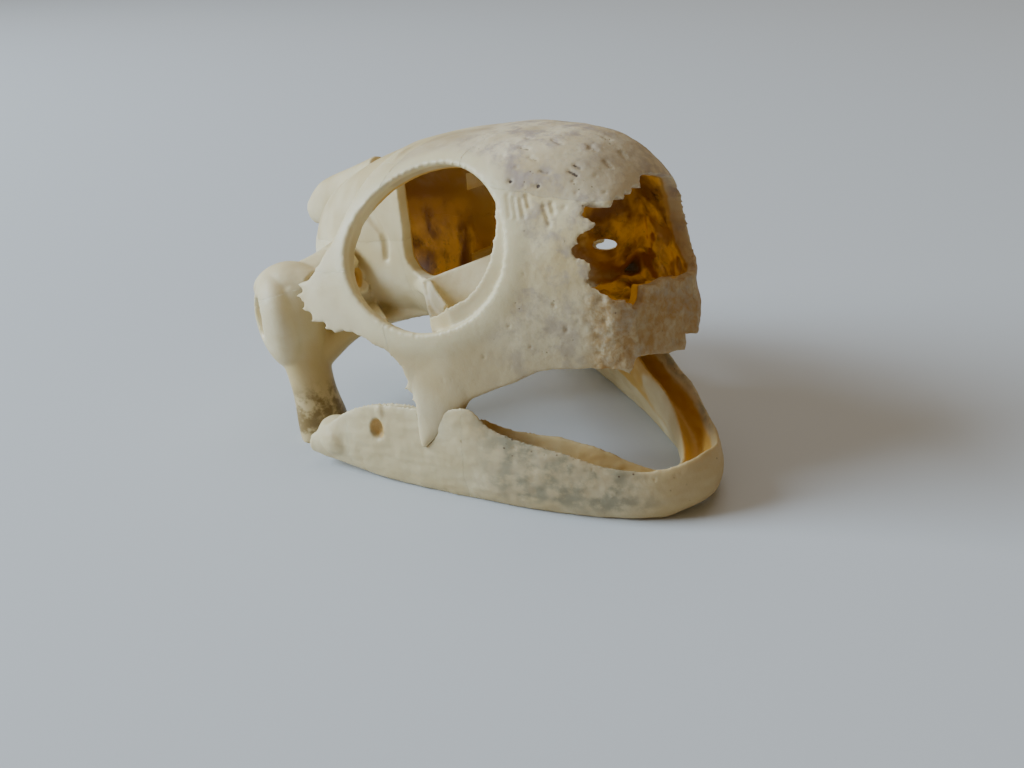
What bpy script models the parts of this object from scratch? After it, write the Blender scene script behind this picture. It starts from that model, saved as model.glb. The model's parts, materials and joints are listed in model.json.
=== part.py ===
"""Turtle skull: cranium and lower jaw, life size, lying on a level surface.

The cranium is modelled whole in its own frame, in millimetres: x runs forward, y to the left,
z up, and the origin is the lower front edge of the beak. It is hollow like the real one. Thin
cuts along the sutures then part it into its named bones, and a last transform poses it.
The lower jaw is a bow modelled in the frame of the surface it lies on.
"""
import math

import bmesh
import bpy
from mathutils import Matrix, Vector

MM = 0.001
SUTURE = 0.3

# Cranium, outer envelope: (x, top of roof, widest height, half width, lower edge)
HEAD_STATIONS = (
    (0.15, 10.9, 6.6, 3.5, -0.2),
    (-0.4, 12.05, 6.4, 4.5, -0.7),
    (-1.2, 12.95, 6.2, 5.1, -1.2),
    (-2.6, 14.05, 5.6, 5.9, -2.4),
    (-4.5, 14.8, 4.6, 6.9, -4.0),
    (-7.5, 15.35, 3.4, 8.6, -8.0),
    (-12.4, 15.7, 2.0, 11.0, -10.0),
    (-17.0, 15.6, 2.4, 12.3, -8.0),
    (-21.0, 15.15, 3.0, 13.0, -6.0),
    (-25.0, 14.7, 3.4, 13.2, -4.0),
)
ROOF_FULLNESS = 0.72
WALL = 1.15
ROOF_WALL = 1.5

ORBIT_CENTRE = Vector((-12.1, -8.9, 9.5))
ORBIT_AXIS = Vector((0.325, -0.899, 0.279))
ORBIT_HALF_LENGTH = 5.8
ORBIT_HALF_HEIGHT = 5.25

# Edge of the broken nose opening, seen from the front: (y, z)
NARIS_EDGE = (
    (-3.95, 11.1), (-3.3, 10.6), (-2.6, 11.2), (-1.6, 11.0), (-0.9, 11.5), (0.2, 11.9), (1.1, 11.4),
    (2.6, 11.0), (3.8, 10.0), (4.4, 8.4), (4.5, 6.6), (3.9, 5.2), (3.0, 4.5), (1.8, 4.6), (0.6, 5.1),
    (-0.6, 5.0), (-1.7, 5.3), (-2.1, 4.4), (-2.9, 4.1), (-3.6, 4.9), (-4.4, 5.2), (-5.2, 6.4),
    (-5.0, 7.4), (-5.4, 8.3), (-5.0, 9.3), (-4.3, 9.7), (-4.5, 10.6),
)
NARIS_DEPTH = 7.0

# Side outline of the cheek, from the beak round to the roof: (x, z)
CHEEK_EDGE = (
    (2.0, 0.2), (-0.6, 0.2), (-1.8, 0.4), (-4.5, 0.75), (-5.4, 0.7), (-6.8, 0.1), (-8.4, -0.4),
    (-9.9, -0.9), (-10.9, -2.0), (-12.4, -3.0), (-13.4, -1.9), (-14.1, -1.6), (-13.5, -0.5),
    (-14.2, 0.1), (-13.5, 0.7), (-13.9, 2.0), (-14.8, 3.0), (-16.6, 3.9), (-18.2, 4.3),
    (-19.9, 4.4), (-19.6, 5.2), (-21.5, 4.9), (-20.9, 5.7), (-22.6, 5.9), (-21.5, 6.6),
    (-22.9, 7.4), (-21.4, 7.8), (-20.4, 8.9), (-19.5, 10.6), (-19.0, 12.8), (-19.0, 19.0),
)

# Braincase tube and parietal roof: (x, roof height, roof half width, wall half width, floor)
BRAIN_STATIONS = (
    (-17.0, 15.6, 7.4, 6.3, 13.0),
    (-19.0, 15.35, 6.9, 4.7, 3.0),
    (-21.5, 15.0, 5.6, 4.3, 2.2),
    (-24.5, 14.4, 4.4, 4.7, 2.0),
    (-28.0, 13.7, 3.2, 5.0, 2.0),
    (-31.0, 12.4, 2.4, 4.4, 2.2),
    (-32.8, 10.6, 2.0, 3.6, 2.6),
)
BRAIN_WALL = 1.1

PALATE_STATIONS = (
    (-1.0, 2.6, 3.4), (-4.0, 2.9, 6.4), (-8.0, 3.3, 8.6), (-12.0, 3.3, 9.4),
    (-14.5, 3.2, 6.8), (-18.0, 3.1, 4.2), (-22.0, 2.9, 4.4), (-26.0, 2.7, 6.0), (-28.5, 2.7, 6.2),
)
PALATE_THICKNESS = 1.2

# Lower jaw: a bow in plan, on the level surface
JAW_LENGTH = 25.5
JAW_HALF_SPREAD = 14.0
JAW_POWER = 1.92
JAW_TIP = (1.9, -1.1)
# Along the bow: (share from tip to end, upper edge, lift of the lower edge, width factor,
# share of the inner ridge)
JAW_HEIGHTS = (
    (0.0, 4.3, -0.15, 1.1, 0.6), (0.1, 4.1, -0.15, 1.05, 0.65), (0.2, 3.75, -0.15, 1.0, 0.75),
    (0.3, 3.7, -0.15, 0.98, 0.9), (0.4, 4.0, -0.15, 0.96, 1.0), (0.5, 4.75, -0.15, 0.95, 1.0),
    (0.6, 5.3, -0.15, 0.9, 0.98), (0.65, 6.0, -0.15, 0.88, 0.92), (0.69, 6.9, -0.15, 0.86, 0.88),
    (0.75, 6.5, -0.1, 0.82, 0.88), (0.82, 6.3, 0.0, 0.78, 0.9), (0.88, 6.0, 0.1, 0.75, 0.9),
    (0.94, 4.7, 0.35, 0.78, 0.95), (1.0, 2.8, 0.9, 0.8, 1.0),
)
# Around the jaw's section: (inward, share of the height)
JAW_SECTION = (
    (0.10, 1.0), (0.62, 0.80), (1.35, 0.68), (2.10, 0.88), (2.45, 0.62), (1.90, 0.15),
    (0.95, 0.0), (0.05, 0.12), (-0.30, 0.55),
)
# How far inward the inner ridge starts, and over what width it takes its own height
RIDGE_START = 0.9
RIDGE_RISE = 1.1
# Shares of the bow where the dentary meets the surangular, and that the articular
JAW_JOINTS = (0.70, 0.925)

YAW = math.radians(3.48)
PITCH = math.radians(9.39)
CRANIUM_SEAT = Vector((-2.08, 0.03, 9.69))
# Middle of the whole object's box on the level surface
MIDDLE = (-19.0, -1.1, 0.0)
# Bones that reach the level surface and have their small flats there
LOW_BONES = (
    "dentary", "surangular_right", "surangular_left", "articular_right", "articular_left",
    "quadrate_right", "quadrate_left",
)
IVORY = (0.80, 0.74, 0.60)
COLOURS = (
    ("premaxilla", (0.62, 0.52, 0.36), 0.75), ("maxilla", (0.74, 0.68, 0.57), 0.62),
    ("prefrontal", (0.66, 0.60, 0.52), 0.66), ("frontal", (0.64, 0.58, 0.48), 0.66),
    ("postorbital", (0.78, 0.72, 0.56), 0.5), ("jugal", (0.76, 0.72, 0.58), 0.5),
    ("braincase", (0.66, 0.50, 0.28), 0.6), ("quadrate", (0.68, 0.54, 0.30), 0.45),
    ("dentary", (0.66, 0.62, 0.50), 0.55), ("surangular", (0.78, 0.72, 0.60), 0.5),
)
VOXEL = 0.42
SMALLEST_PIECE = 1.0

# A point on each bone: middle ones, then those of the right side
MIDDLE_BONES = (
    ("premaxilla", (0.0, 0.0, 2.5)), ("frontal", (-13.5, 0.0, 16.0)), ("parietal", (-22.0, 0.0, 15.3)),
    ("supraoccipital", (-34.0, 0.0, 10.5)), ("braincase", (-27.0, 0.0, 2.5)), ("palate", (-16.0, 0.0, 3.0)),
)
SIDE_BONES = (
    ("maxilla", (-5.0, -7.0, 4.0)), ("prefrontal", (-5.0, -3.0, 15.0)), ("postorbital", (-18.0, -9.7, 12.5)),
    ("jugal", (-18.5, -12.4, 6.5)), ("quadrate", (-27.1, -10.3, -1.0)), ("squamosal", (-30.0, -10.0, 7.0)),
)
CRANIUM_TRIANGLES = 6600
JAW_TRIANGLES = 1500


def clear_scene():
    for item in list(bpy.data.objects):
        bpy.data.objects.remove(item, do_unlink=True)


def smooth_value(stops, column, x):
    """Value of a column of the stops at x, on a cubic through all of them."""
    rows = sorted(stops)
    x = min(max(x, rows[0][0]), rows[-1][0])
    index = max(i for i, row in enumerate(rows[:-1]) if row[0] <= x)
    low, high = rows[index], rows[index + 1]
    before = rows[max(index - 1, 0)]
    after = rows[min(index + 2, len(rows) - 1)]
    span = high[0] - low[0]
    slope_low = (high[column] - before[column]) / (high[0] - before[0]) * span
    slope_high = (after[column] - low[column]) / (after[0] - low[0]) * span
    t = (x - low[0]) / span
    return ((2 * t ** 3 - 3 * t ** 2 + 1) * low[column] + (t ** 3 - 2 * t ** 2 + t) * slope_low
            + (3 * t ** 2 - 2 * t ** 3) * high[column] + (t ** 3 - t ** 2) * slope_high)


def link(name, bm):
    mesh = bpy.data.meshes.new(name)
    bm.to_mesh(mesh)
    bm.free()
    item = bpy.data.objects.new(name, mesh)
    bpy.context.scene.collection.objects.link(item)
    return item


def tube(name, spine, wall, along=20, around=28):
    """Closed body swept along a spine; wall gives the offset at a step and a turn."""
    bm = bmesh.new()
    bmesh.ops.create_uvsphere(bm, u_segments=around, v_segments=along + 1, radius=1.0)
    for vert in bm.verts:
        polar = math.acos(min(max(vert.co.z, -1.0), 1.0))
        turn = math.atan2(vert.co.y, vert.co.x)
        step = (polar / math.pi * (along + 1) - 1) / (along - 1)
        held = min(max(step, 0.0), 1.0)
        is_pole = abs(step - held) > 0.5 / along
        vert.co = spine(held) if is_pole else spine(held) + wall(held, turn)
    bmesh.ops.recalc_face_normals(bm, faces=bm.faces)
    return link(name, bm)


def limb(name, stops, side, along=14, around=14):
    """Tapered bar through stops of (centre, half width along side, half depth across)."""
    count = len(stops) - 1
    rows = [(i, *stop[0], stop[1], stop[2]) for i, stop in enumerate(stops)]

    def spine(step):
        return Vector([smooth_value(rows, column, step * count) for column in (1, 2, 3)])

    def wall(step, turn):
        along_spine = (spine(min(step + 0.02, 1.0)) - spine(max(step - 0.02, 0.0))).normalized()
        across = along_spine.cross(side).normalized()
        wide = across.cross(along_spine)
        return (wide * smooth_value(rows, 4, step * count) * math.cos(turn)
                + across * smooth_value(rows, 5, step * count) * math.sin(turn))

    return tube(name, spine, wall, along, around)


def blob(name, centre, radii, turn=Matrix.Identity(3)):
    bm = bmesh.new()
    bmesh.ops.create_icosphere(bm, subdivisions=3, radius=1.0)
    for vert in bm.verts:
        vert.co = Vector(centre) + turn @ Vector([a * b for a, b in zip(vert.co, radii)])
    return link(name, bm)


def prism(name, outline, place, depth):
    """Straight prism: place turns an outline point and a depth into a position."""
    bm = bmesh.new()
    verts = [bm.verts.new(place(a, b, 0.0)) for a, b in outline]
    face = bm.faces.new(verts)
    made = bmesh.ops.extrude_face_region(bm, geom=[face])
    shift = Vector(place(*outline[0], depth)) - Vector(place(*outline[0], 0.0))
    moved = [item for item in made["geom"] if isinstance(item, bmesh.types.BMVert)]
    bmesh.ops.translate(bm, verts=moved, vec=shift)
    bmesh.ops.recalc_face_normals(bm, faces=bm.faces)
    return link(name, bm)


def box(name, low, high, turn=None):
    bm = bmesh.new()
    bmesh.ops.create_cube(bm, size=1.0)
    low, high = Vector(low), Vector(high)
    for vert in bm.verts:
        offset = Vector([c * (b - a) for c, a, b in zip(vert.co, low, high)])
        vert.co = (low + high) / 2 + (turn @ offset if turn else offset)
    return link(name, bm)


def mirrored(item, name):
    """Copy of a right-hand piece for the left side."""
    mesh = item.data.copy()
    mesh.transform(Matrix.Scale(-1, 4, (0, 1, 0)))
    mesh.flip_normals()
    twin = bpy.data.objects.new(name, mesh)
    bpy.context.scene.collection.objects.link(twin)
    return twin


def apply_modifiers(item):
    graph = bpy.context.evaluated_depsgraph_get()
    solid = bpy.data.meshes.new_from_object(item.evaluated_get(graph))
    item.modifiers.clear()
    item.data = solid


def drop(items):
    for item in items:
        bpy.data.objects.remove(item, do_unlink=True)


def combine(target, others, operation):
    """Boolean of the target with a collection of closed bodies, applied."""
    group = bpy.data.collections.new(target.name + "_others")
    bpy.context.scene.collection.children.link(group)
    for other in others:
        group.objects.link(other)
    modifier = target.modifiers.new("combine", "BOOLEAN")
    modifier.operation = operation
    modifier.operand_type = "COLLECTION"
    modifier.collection = group
    modifier.solver = "EXACT"
    apply_modifiers(target)
    drop(others)
    bpy.data.collections.remove(group)
    return target


def fuse(target, triangles):
    """Even the joined body out as grown bone and thin its mesh to a number of triangles."""
    remesh = target.modifiers.new("remesh", "REMESH")
    remesh.mode = "VOXEL"
    remesh.voxel_size = VOXEL
    smooth = target.modifiers.new("smooth", "SMOOTH")
    smooth.factor = 0.5
    smooth.iterations = 3
    apply_modifiers(target)
    bm = bmesh.new()
    bm.from_mesh(target.data)
    bmesh.ops.triangulate(bm, faces=bm.faces)
    bm.to_mesh(target.data)
    bm.free()
    decimate = target.modifiers.new("decimate", "DECIMATE")
    decimate.ratio = min(1.0, triangles / len(target.data.polygons))
    apply_modifiers(target)
    return target


def head_section(x, turn, inset=0.0, roof_inset=0.0):
    """Point of the head's cross-section at x; turn is 0 at the top and pi at the bottom."""
    top = smooth_value(HEAD_STATIONS, 1, x) - roof_inset
    widest = smooth_value(HEAD_STATIONS, 2, x)
    half_width = smooth_value(HEAD_STATIONS, 3, x) - inset
    low = smooth_value(HEAD_STATIONS, 4, x) - (6.0 if inset else 0.0)
    sine, cosine = math.sin(turn), math.cos(turn)
    if cosine >= 0:
        y = half_width * math.copysign(abs(sine) ** ROOF_FULLNESS, sine)
        return Vector((x, y, widest + (top - widest) * cosine ** 0.95))
    y = half_width * math.copysign(abs(sine) ** 0.35, sine)
    return Vector((x, y, widest + (widest - low) * -abs(cosine) ** 0.8))


def head_body(name, front, rear, inset, roof_inset):
    def spine(step):
        x = front + (rear - front) * step ** 1.5
        return Vector((x, 0.0, smooth_value(HEAD_STATIONS, 2, x)))

    def wall(step, turn):
        place = spine(step)
        return head_section(place.x, turn, inset, roof_inset) - place

    return tube(name, spine, wall, along=34, around=48)


def brain_body(name, front, rear, inset):
    def spine(step):
        x = front + (rear - front) * step
        floor = smooth_value(BRAIN_STATIONS, 4, x)
        roof = smooth_value(BRAIN_STATIONS, 1, x)
        return Vector((x, 0.0, (floor + roof) / 2))

    def wall(step, turn):
        x = spine(step).x
        half_height = (smooth_value(BRAIN_STATIONS, 1, x) - smooth_value(BRAIN_STATIONS, 4, x)) / 2
        share = (math.cos(turn) + 1) / 2
        spread = share ** 3
        half_width = (smooth_value(BRAIN_STATIONS, 2, x) * spread
                      + smooth_value(BRAIN_STATIONS, 3, x) * (1 - spread))
        y = (half_width - inset) * math.copysign(abs(math.sin(turn)) ** 0.6, math.sin(turn))
        z = (half_height - inset) * math.copysign(abs(math.cos(turn)) ** 0.7, math.cos(turn))
        return Vector((0.0, y, z))

    return tube(name, spine, wall, along=20, around=32)


def orbit_frame():
    across = ORBIT_AXIS.cross(Vector((0, 0, 1))).normalized()
    up = across.cross(ORBIT_AXIS).normalized()
    return across, up


def orbit_cutter(name):
    across, up = orbit_frame()

    def spine(step):
        return ORBIT_CENTRE + ORBIT_AXIS * (4.0 - 7.5 * step)

    def wall(step, turn):
        flare = 1.0 + 0.10 * (1 - step)
        return (across * ORBIT_HALF_LENGTH * math.cos(turn)
                + up * ORBIT_HALF_HEIGHT * math.sin(turn)) * flare

    return tube(name, spine, wall, along=3, around=40)


def naris_cutter(name):
    return prism(name, NARIS_EDGE, lambda a, b, c: (2.0 - c, a, b), NARIS_DEPTH)


def cheek_cutter(name):
    outline = list(CHEEK_EDGE) + [(-40.0, 19.0), (-40.0, -9.0), (2.0, -9.0)]
    return prism(name, outline, lambda a, b, c: (a, c - 18.0, b), 36.0)


def palate_body():
    def spine(step):
        x = PALATE_STATIONS[0][0] + (PALATE_STATIONS[-1][0] - PALATE_STATIONS[0][0]) * step
        return Vector((x, 0.0, smooth_value(PALATE_STATIONS, 1, x)))

    def wall(step, turn):
        x = spine(step).x
        half_width = smooth_value(PALATE_STATIONS, 2, x)
        y = half_width * math.copysign(abs(math.cos(turn)) ** 0.8, math.cos(turn))
        arch = -0.9 * (y / half_width) ** 2 if half_width else 0.0
        z = PALATE_THICKNESS / 2 * math.copysign(abs(math.sin(turn)) ** 0.5, math.sin(turn))
        return Vector((0.0, y, z + arch))

    return tube("palate_body", spine, wall, along=28, around=28)


def orbit_floor():
    """Bowl under and in front of the right eye, between mouth, nose and socket."""
    centre = Vector((-12.3, -6.0, 9.4))
    bowl = blob("orbit_floor", centre, (6.4, 6.0, 7.0))
    hollow = blob("orbit_hollow", centre + Vector((-0.6, -0.3, 0.4)), (5.7, 5.3, 6.2))
    above = box("orbit_above", (-22.0, -15.0, 5.6), (-8.0, 2.0, 22.0),
                Matrix.Rotation(math.radians(-24), 3, "Y"))
    outside = box("orbit_outside", (-22.0, -22.0, -5.0), (0.0, -9.4, 22.0))
    behind = box("orbit_behind", (-22.0, -15.0, -5.0), (-14.8, 2.0, 22.0))
    combine(bowl, [hollow, above, outside, behind], "DIFFERENCE")
    return combine(bowl, [head_body("orbit_limit", -1.0, -23.5, 0.5, 0.5)], "INTERSECT")


def cheek_strut():
    """Narrow lower rear end of the cheek, which hangs outside the lower jaw."""
    return limb("cheek_strut", [
        ((-11.5, -10.2, 1.4), 0.6, 2.2), ((-11.8, -10.6, -0.4), 0.6, 1.95),
        ((-12.2, -11.1, -2.0), 0.58, 1.55), ((-13.0, -11.6, -3.7), 0.5, 0.75)], Vector((0, 1, 0)))


def quadrate_pieces():
    ear_turn = Matrix.Rotation(math.radians(-30), 3, "Z")
    column = limb("column", [
        ((-27.0, -10.1, -5.8), 2.1, 1.4), ((-27.0, -10.1, -4.2), 2.2, 1.6),
        ((-27.1, -10.2, -1.5), 1.9, 1.6), ((-27.2, -10.3, 1.5), 2.2, 1.9),
        ((-27.3, -10.2, 4.2), 2.5, 2.5), ((-27.3, -9.8, 6.4), 2.0, 2.4)], Vector((0, 1, 0)))
    ear = blob("ear", (-27.9, -10.6, 3.4), (3.5, 1.9, 3.9), ear_turn)
    squamosal = limb("squamosal", [
        ((-25.2, -9.2, 6.6), 1.2, 0.9), ((-27.4, -9.9, 7.1), 1.8, 1.2),
        ((-30.0, -9.9, 6.5), 1.4, 1.1), ((-32.4, -9.2, 5.2), 0.7, 0.7)], Vector((0, 1, 0)))
    otic = limb("otic", [
        ((-26.8, -3.4, 6.2), 3.0, 3.0), ((-27.2, -6.2, 5.8), 2.8, 2.4),
        ((-27.6, -9.2, 5.2), 2.6, 2.6)], Vector((1, 0, 0)))
    wing = limb("pterygoid_wing", [
        ((-24.6, -3.8, 3.0), 2.6, 0.7), ((-26.0, -6.8, 2.2), 1.9, 0.9),
        ((-26.9, -9.6, 0.6), 1.2, 1.2)], Vector((1, 0, 0)))
    return [column, ear, squamosal, otic, wing]


def quadrate_hollows():
    ear_turn = Matrix.Rotation(math.radians(-30), 3, "Z")
    cup = blob("ear_cup", (-28.9, -12.3, 3.3), (2.6, 2.5, 2.9), ear_turn)
    groove = blob("condyle_groove", (-27.0, -9.9, -6.2), (2.4, 0.8, 1.3))
    return [cup, groove]


def both_sides(make):
    right = make()
    right = right if isinstance(right, list) else [right]
    return right + [mirrored(item, item.name + "_left") for item in right]


def cranium_whole():
    """All of the cranium in one closed body, before the sutures are cut."""
    shell = head_body("cranium", 0.15, -23.5, 0.0, 0.0)
    cavity = head_body("cavity", -1.2, -25.0, WALL, ROOF_WALL)
    combine(shell, [cavity], "DIFFERENCE")
    cuts = [cheek_cutter("cheek"), naris_cutter("naris")]
    cuts += both_sides(lambda: orbit_cutter("orbit"))
    combine(shell, cuts, "DIFFERENCE")
    brain = brain_body("braincase", -17.0, -32.8, 0.0)
    hollow = brain_body("brain_hollow", -16.0, -31.8, BRAIN_WALL)
    front = limb("brain_front", [
        ((-13.6, 0.0, 11.2), 8.0, 5.6), ((-16.8, 0.0, 9.9), 8.0, 5.3),
        ((-19.4, 0.0, 8.9), 8.0, 4.3)], Vector((0, 1, 0)))
    magnum = limb("foramen_magnum", [
        ((-30.0, 0.0, 6.6), 1.9, 2.2), ((-36.0, 0.0, 6.6), 2.0, 2.4)], Vector((0, 1, 0)))
    foramina = both_sides(lambda: limb("foramen", [
        ((-24.4, -2.0, 5.6), 1.1, 1.5), ((-24.6, -7.0, 6.0), 1.1, 1.5)], Vector((1, 0, 0))))
    combine(brain, [hollow, front, magnum] + foramina, "DIFFERENCE")
    palate = palate_body()
    choanae = both_sides(lambda: blob("choana", (-9.8, -2.1, 3.0), (2.6, 1.3, 2.4)))
    combine(palate, choanae, "DIFFERENCE")
    crest = limb("crest", [
        ((-26.0, 0.0, 12.4), 1.4, 2.5), ((-30.0, 0.0, 11.1), 1.3, 2.7),
        ((-34.0, 0.0, 10.5), 1.0, 2.2), ((-36.8, 0.0, 9.9), 0.6, 1.0)], Vector((0, 1, 0)))
    condyle = blob("occipital_condyle", (-33.4, 0.0, 3.9), (1.9, 1.5, 1.3))
    pieces = [brain, palate, crest, condyle]
    pieces += both_sides(quadrate_pieces)
    pieces += both_sides(orbit_floor)
    pieces += both_sides(cheek_strut)
    combine(shell, pieces, "UNION")
    combine(shell, both_sides(quadrate_hollows), "DIFFERENCE")
    return fuse(shell, CRANIUM_TRIANGLES)


def jaw_place(t):
    """Outer edge of the lower jaw in plan; t runs from -1, right, to 1, left."""
    return Vector((JAW_TIP[0] - JAW_LENGTH * abs(t) ** JAW_POWER, JAW_TIP[1] + JAW_HALF_SPREAD * t, 0.0))


def jaw_section(t, turn):
    """Offset of the jaw's surface from its base line: inward of the bow, and up."""
    count = len(JAW_SECTION)
    place = (turn / (2 * math.pi) % 1.0) * count
    index = int(place)
    share = place - index
    knots = [JAW_SECTION[(index + step) % count] for step in (-1, 0, 1, 2)]
    point = []
    for axis in (0, 1):
        a, b, c, d = [knot[axis] for knot in knots]
        point.append(0.5 * (2 * b + (c - a) * share + (2 * a - 5 * b + 4 * c - d) * share ** 2
                            + (3 * b - a - 3 * c + d) * share ** 3))
    height = smooth_value(JAW_HEIGHTS, 1, abs(t))
    lift = smooth_value(JAW_HEIGHTS, 2, abs(t))
    width = smooth_value(JAW_HEIGHTS, 3, abs(t))
    inner = min(max((point[0] - RIDGE_START) / RIDGE_RISE, 0.0), 1.0)
    ridge = 1.0 + (smooth_value(JAW_HEIGHTS, 4, abs(t)) - 1.0) * inner
    return point[0] * width, lift + point[1] * ridge * (height - lift)


def jaw_body():
    def frame_at(t):
        ahead = jaw_place(min(t + 0.01, 1.0)) - jaw_place(max(t - 0.01, -1.0))
        return Vector((0, 0, 1)).cross(ahead.normalized())

    def spine(step):
        t = 2 * step - 1
        return jaw_place(t) + frame_at(t) * 1.1 + Vector((0, 0, 1.6))

    def wall(step, turn):
        t = 2 * step - 1
        inward, up = jaw_section(t, turn)
        return jaw_place(t) + frame_at(t) * inward + Vector((0, 0, up)) - spine(step)

    return tube("jaw", spine, wall, along=72, around=36)


def jaw_whole():
    jaw = jaw_body()
    ends = []
    for side in (-1, 1):
        rear = jaw_place(side * 0.97)
        ends.append(blob("articular", rear + Vector((0.2, -side * 1.1, 2.3)), (1.9, 1.5, 1.5)))
    combine(jaw, ends, "UNION")
    return fuse(jaw, JAW_TRIANGLES)


def pose_matrix():
    turn = Matrix.Rotation(YAW, 4, "Z") @ Matrix.Rotation(-PITCH, 4, "Y")
    return Matrix.Translation(CRANIUM_SEAT) @ turn


def slab(name, centre, size, angle=0.0, axis="Y"):
    """Thin cut: a box about a centre, turned about one axis."""
    half = Vector(size) / 2
    centre = Vector(centre)
    return box(name, centre - half, centre + half, Matrix.Rotation(math.radians(angle), 3, axis))


def side_sutures():
    """Cuts on the right side; the left side has their mirror images."""
    return [
        slab("maxilla_prefrontal", (-4.2, -6.3, 11.9), (13.0, 12.2, SUTURE), 13.6),
        slab("postorbital_parietal", (-20.0, -6.2, 14.0), (8.0, SUTURE, 8.0)),
        slab("postorbital_jugal", (-19.6, -12.0, 8.4), (8.0, 6.0, SUTURE)),
        slab("jugal_maxilla", (-14.5, -11.2, 2.4), (SUTURE, 6.4, 6.6)),
        slab("premaxilla_maxilla", (-1.9, -3.1, 2.2), (4.6, SUTURE, 7.0)),
        slab("maxilla_palate", (-9.7, -5.5, 3.6), (12.6, SUTURE, 10.0), 23.0, "Z"),
        slab("quadrate_braincase", (-29.0, -6.4, 3.0), (12.0, SUTURE, 12.0)),
        slab("quadrate_squamosal", (-29.0, -10.0, 6.0), (12.0, 7.5, SUTURE), -8.0),
    ]


def middle_sutures():
    """Cuts that cross the middle of the skull."""
    return [
        slab("prefrontal_frontal", (-10.6, 0.0, 15.0), (SUTURE, 22.0, 7.0)),
        slab("prefrontal_pair", (-4.6, 0.0, 14.4), (12.0, SUTURE, 8.0)),
        slab("frontal_parietal", (-16.2, 0.0, 14.5), (SUTURE, 24.0, 9.0)),
        slab("premaxilla_palate", (-4.2, 0.0, 2.2), (SUTURE, 6.6, 7.0)),
        slab("palate_braincase", (-20.5, 0.0, 3.8), (SUTURE, 15.0, 9.6)),
        slab("parietal_braincase", (-26.5, 0.0, 8.6), (19.0, 14.0, SUTURE)),
        slab("parietal_supraoccipital", (-29.2, 0.0, 12.5), (SUTURE, 14.0, 8.0)),
    ]


def islands(item):
    """Separate closed surfaces of a mesh, each as (volume, bmesh)."""
    bm = bmesh.new()
    bm.from_mesh(item.data)
    waiting = set(bm.verts)
    found = []
    while waiting:
        seed = waiting.pop()
        group = {seed}
        edge_of_group = [seed]
        while edge_of_group:
            vert = edge_of_group.pop()
            for edge in vert.link_edges:
                other = edge.other_vert(vert)
                if other in waiting:
                    waiting.discard(other)
                    group.add(other)
                    edge_of_group.append(other)
        piece = bmesh.new()
        copies = {vert: piece.verts.new(vert.co) for vert in bm.verts if vert in group}
        for face in bm.faces:
            if face.verts[0] in group:
                piece.faces.new([copies[vert] for vert in face.verts])
        found.append((piece.calc_volume(), piece))
    bm.free()
    return found


def name_pieces(item, seeds):
    """Split a cut body into its nodes; each takes the name of the seed nearest to it."""
    found = [entry for entry in islands(item) if entry[0] > SMALLEST_PIECE]
    made = {}
    for name, seed in seeds:
        def reach(entry):
            return min((vert.co - Vector(seed)).length for vert in entry[1].verts)
        best = min(found, key=reach)
        found.remove(best)
        made[name] = link(name, best[1])
    drop([item])
    return made


def jaw_cuts():
    """Cuts across each side of the jaw, square to its bow."""
    cuts = []
    for side in (-1, 1):
        for share in JAW_JOINTS:
            place = jaw_place(side * share)
            along = jaw_place(side * (share + 0.01)) - jaw_place(side * (share - 0.01))
            angle = math.degrees(math.atan2(along.y, along.x))
            cuts.append(slab("jaw_cut", place + Vector((0, 0, 3.5)), (SUTURE, 12.0, 12.0), angle, "Z"))
    return cuts


def jaw_seeds():
    """A point on each piece of the jaw."""
    seeds = [("dentary", jaw_place(0.0) + Vector((-1.0, 0.0, 2.0)))]
    for side, word in ((-1, "right"), (1, "left")):
        seeds.append(("surangular_" + word, jaw_place(side * 0.82) + Vector((0.0, -side * 1.0, 2.5))))
        seeds.append(("articular_" + word, jaw_place(side * 0.98) + Vector((0.0, -side * 1.0, 2.0))))
    return seeds


def clear_of(item, neighbour):
    """Cut an item clear of a neighbour by the width of a suture."""
    spread = neighbour.copy()
    spread.data = neighbour.data.copy()
    bpy.context.scene.collection.objects.link(spread)
    swell = spread.modifiers.new("swell", "DISPLACE")
    swell.mid_level = 0.0
    swell.strength = SUTURE
    apply_modifiers(spread)
    return combine(item, [spread], "DIFFERENCE")


def bone_material(name, colour, roughness):
    material = bpy.data.materials.new(name)
    material.use_nodes = True
    shader = material.node_tree.nodes["Principled BSDF"]
    shader.inputs["Base Color"].default_value = (*colour, 1.0)
    shader.inputs["Roughness"].default_value = roughness
    shader.inputs["Metallic"].default_value = 0.0
    return material


def colour_of(name):
    for stem, colour, roughness in COLOURS:
        if name.startswith(stem):
            return colour, roughness
    return IVORY, 0.55


def finish_node(item):
    """Life size in metres, on the level surface, with its own finish."""
    item.data.transform(Matrix.Scale(MM, 4) @ Matrix.Translation(-Vector(MIDDLE)))
    colour, roughness = colour_of(item.name)
    item.data.materials.clear()
    item.data.materials.append(bone_material(item.name + "_bone", colour, roughness))
    item.data.shade_smooth()
    item.data.set_sharp_from_angle(angle=math.radians(40))


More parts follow.
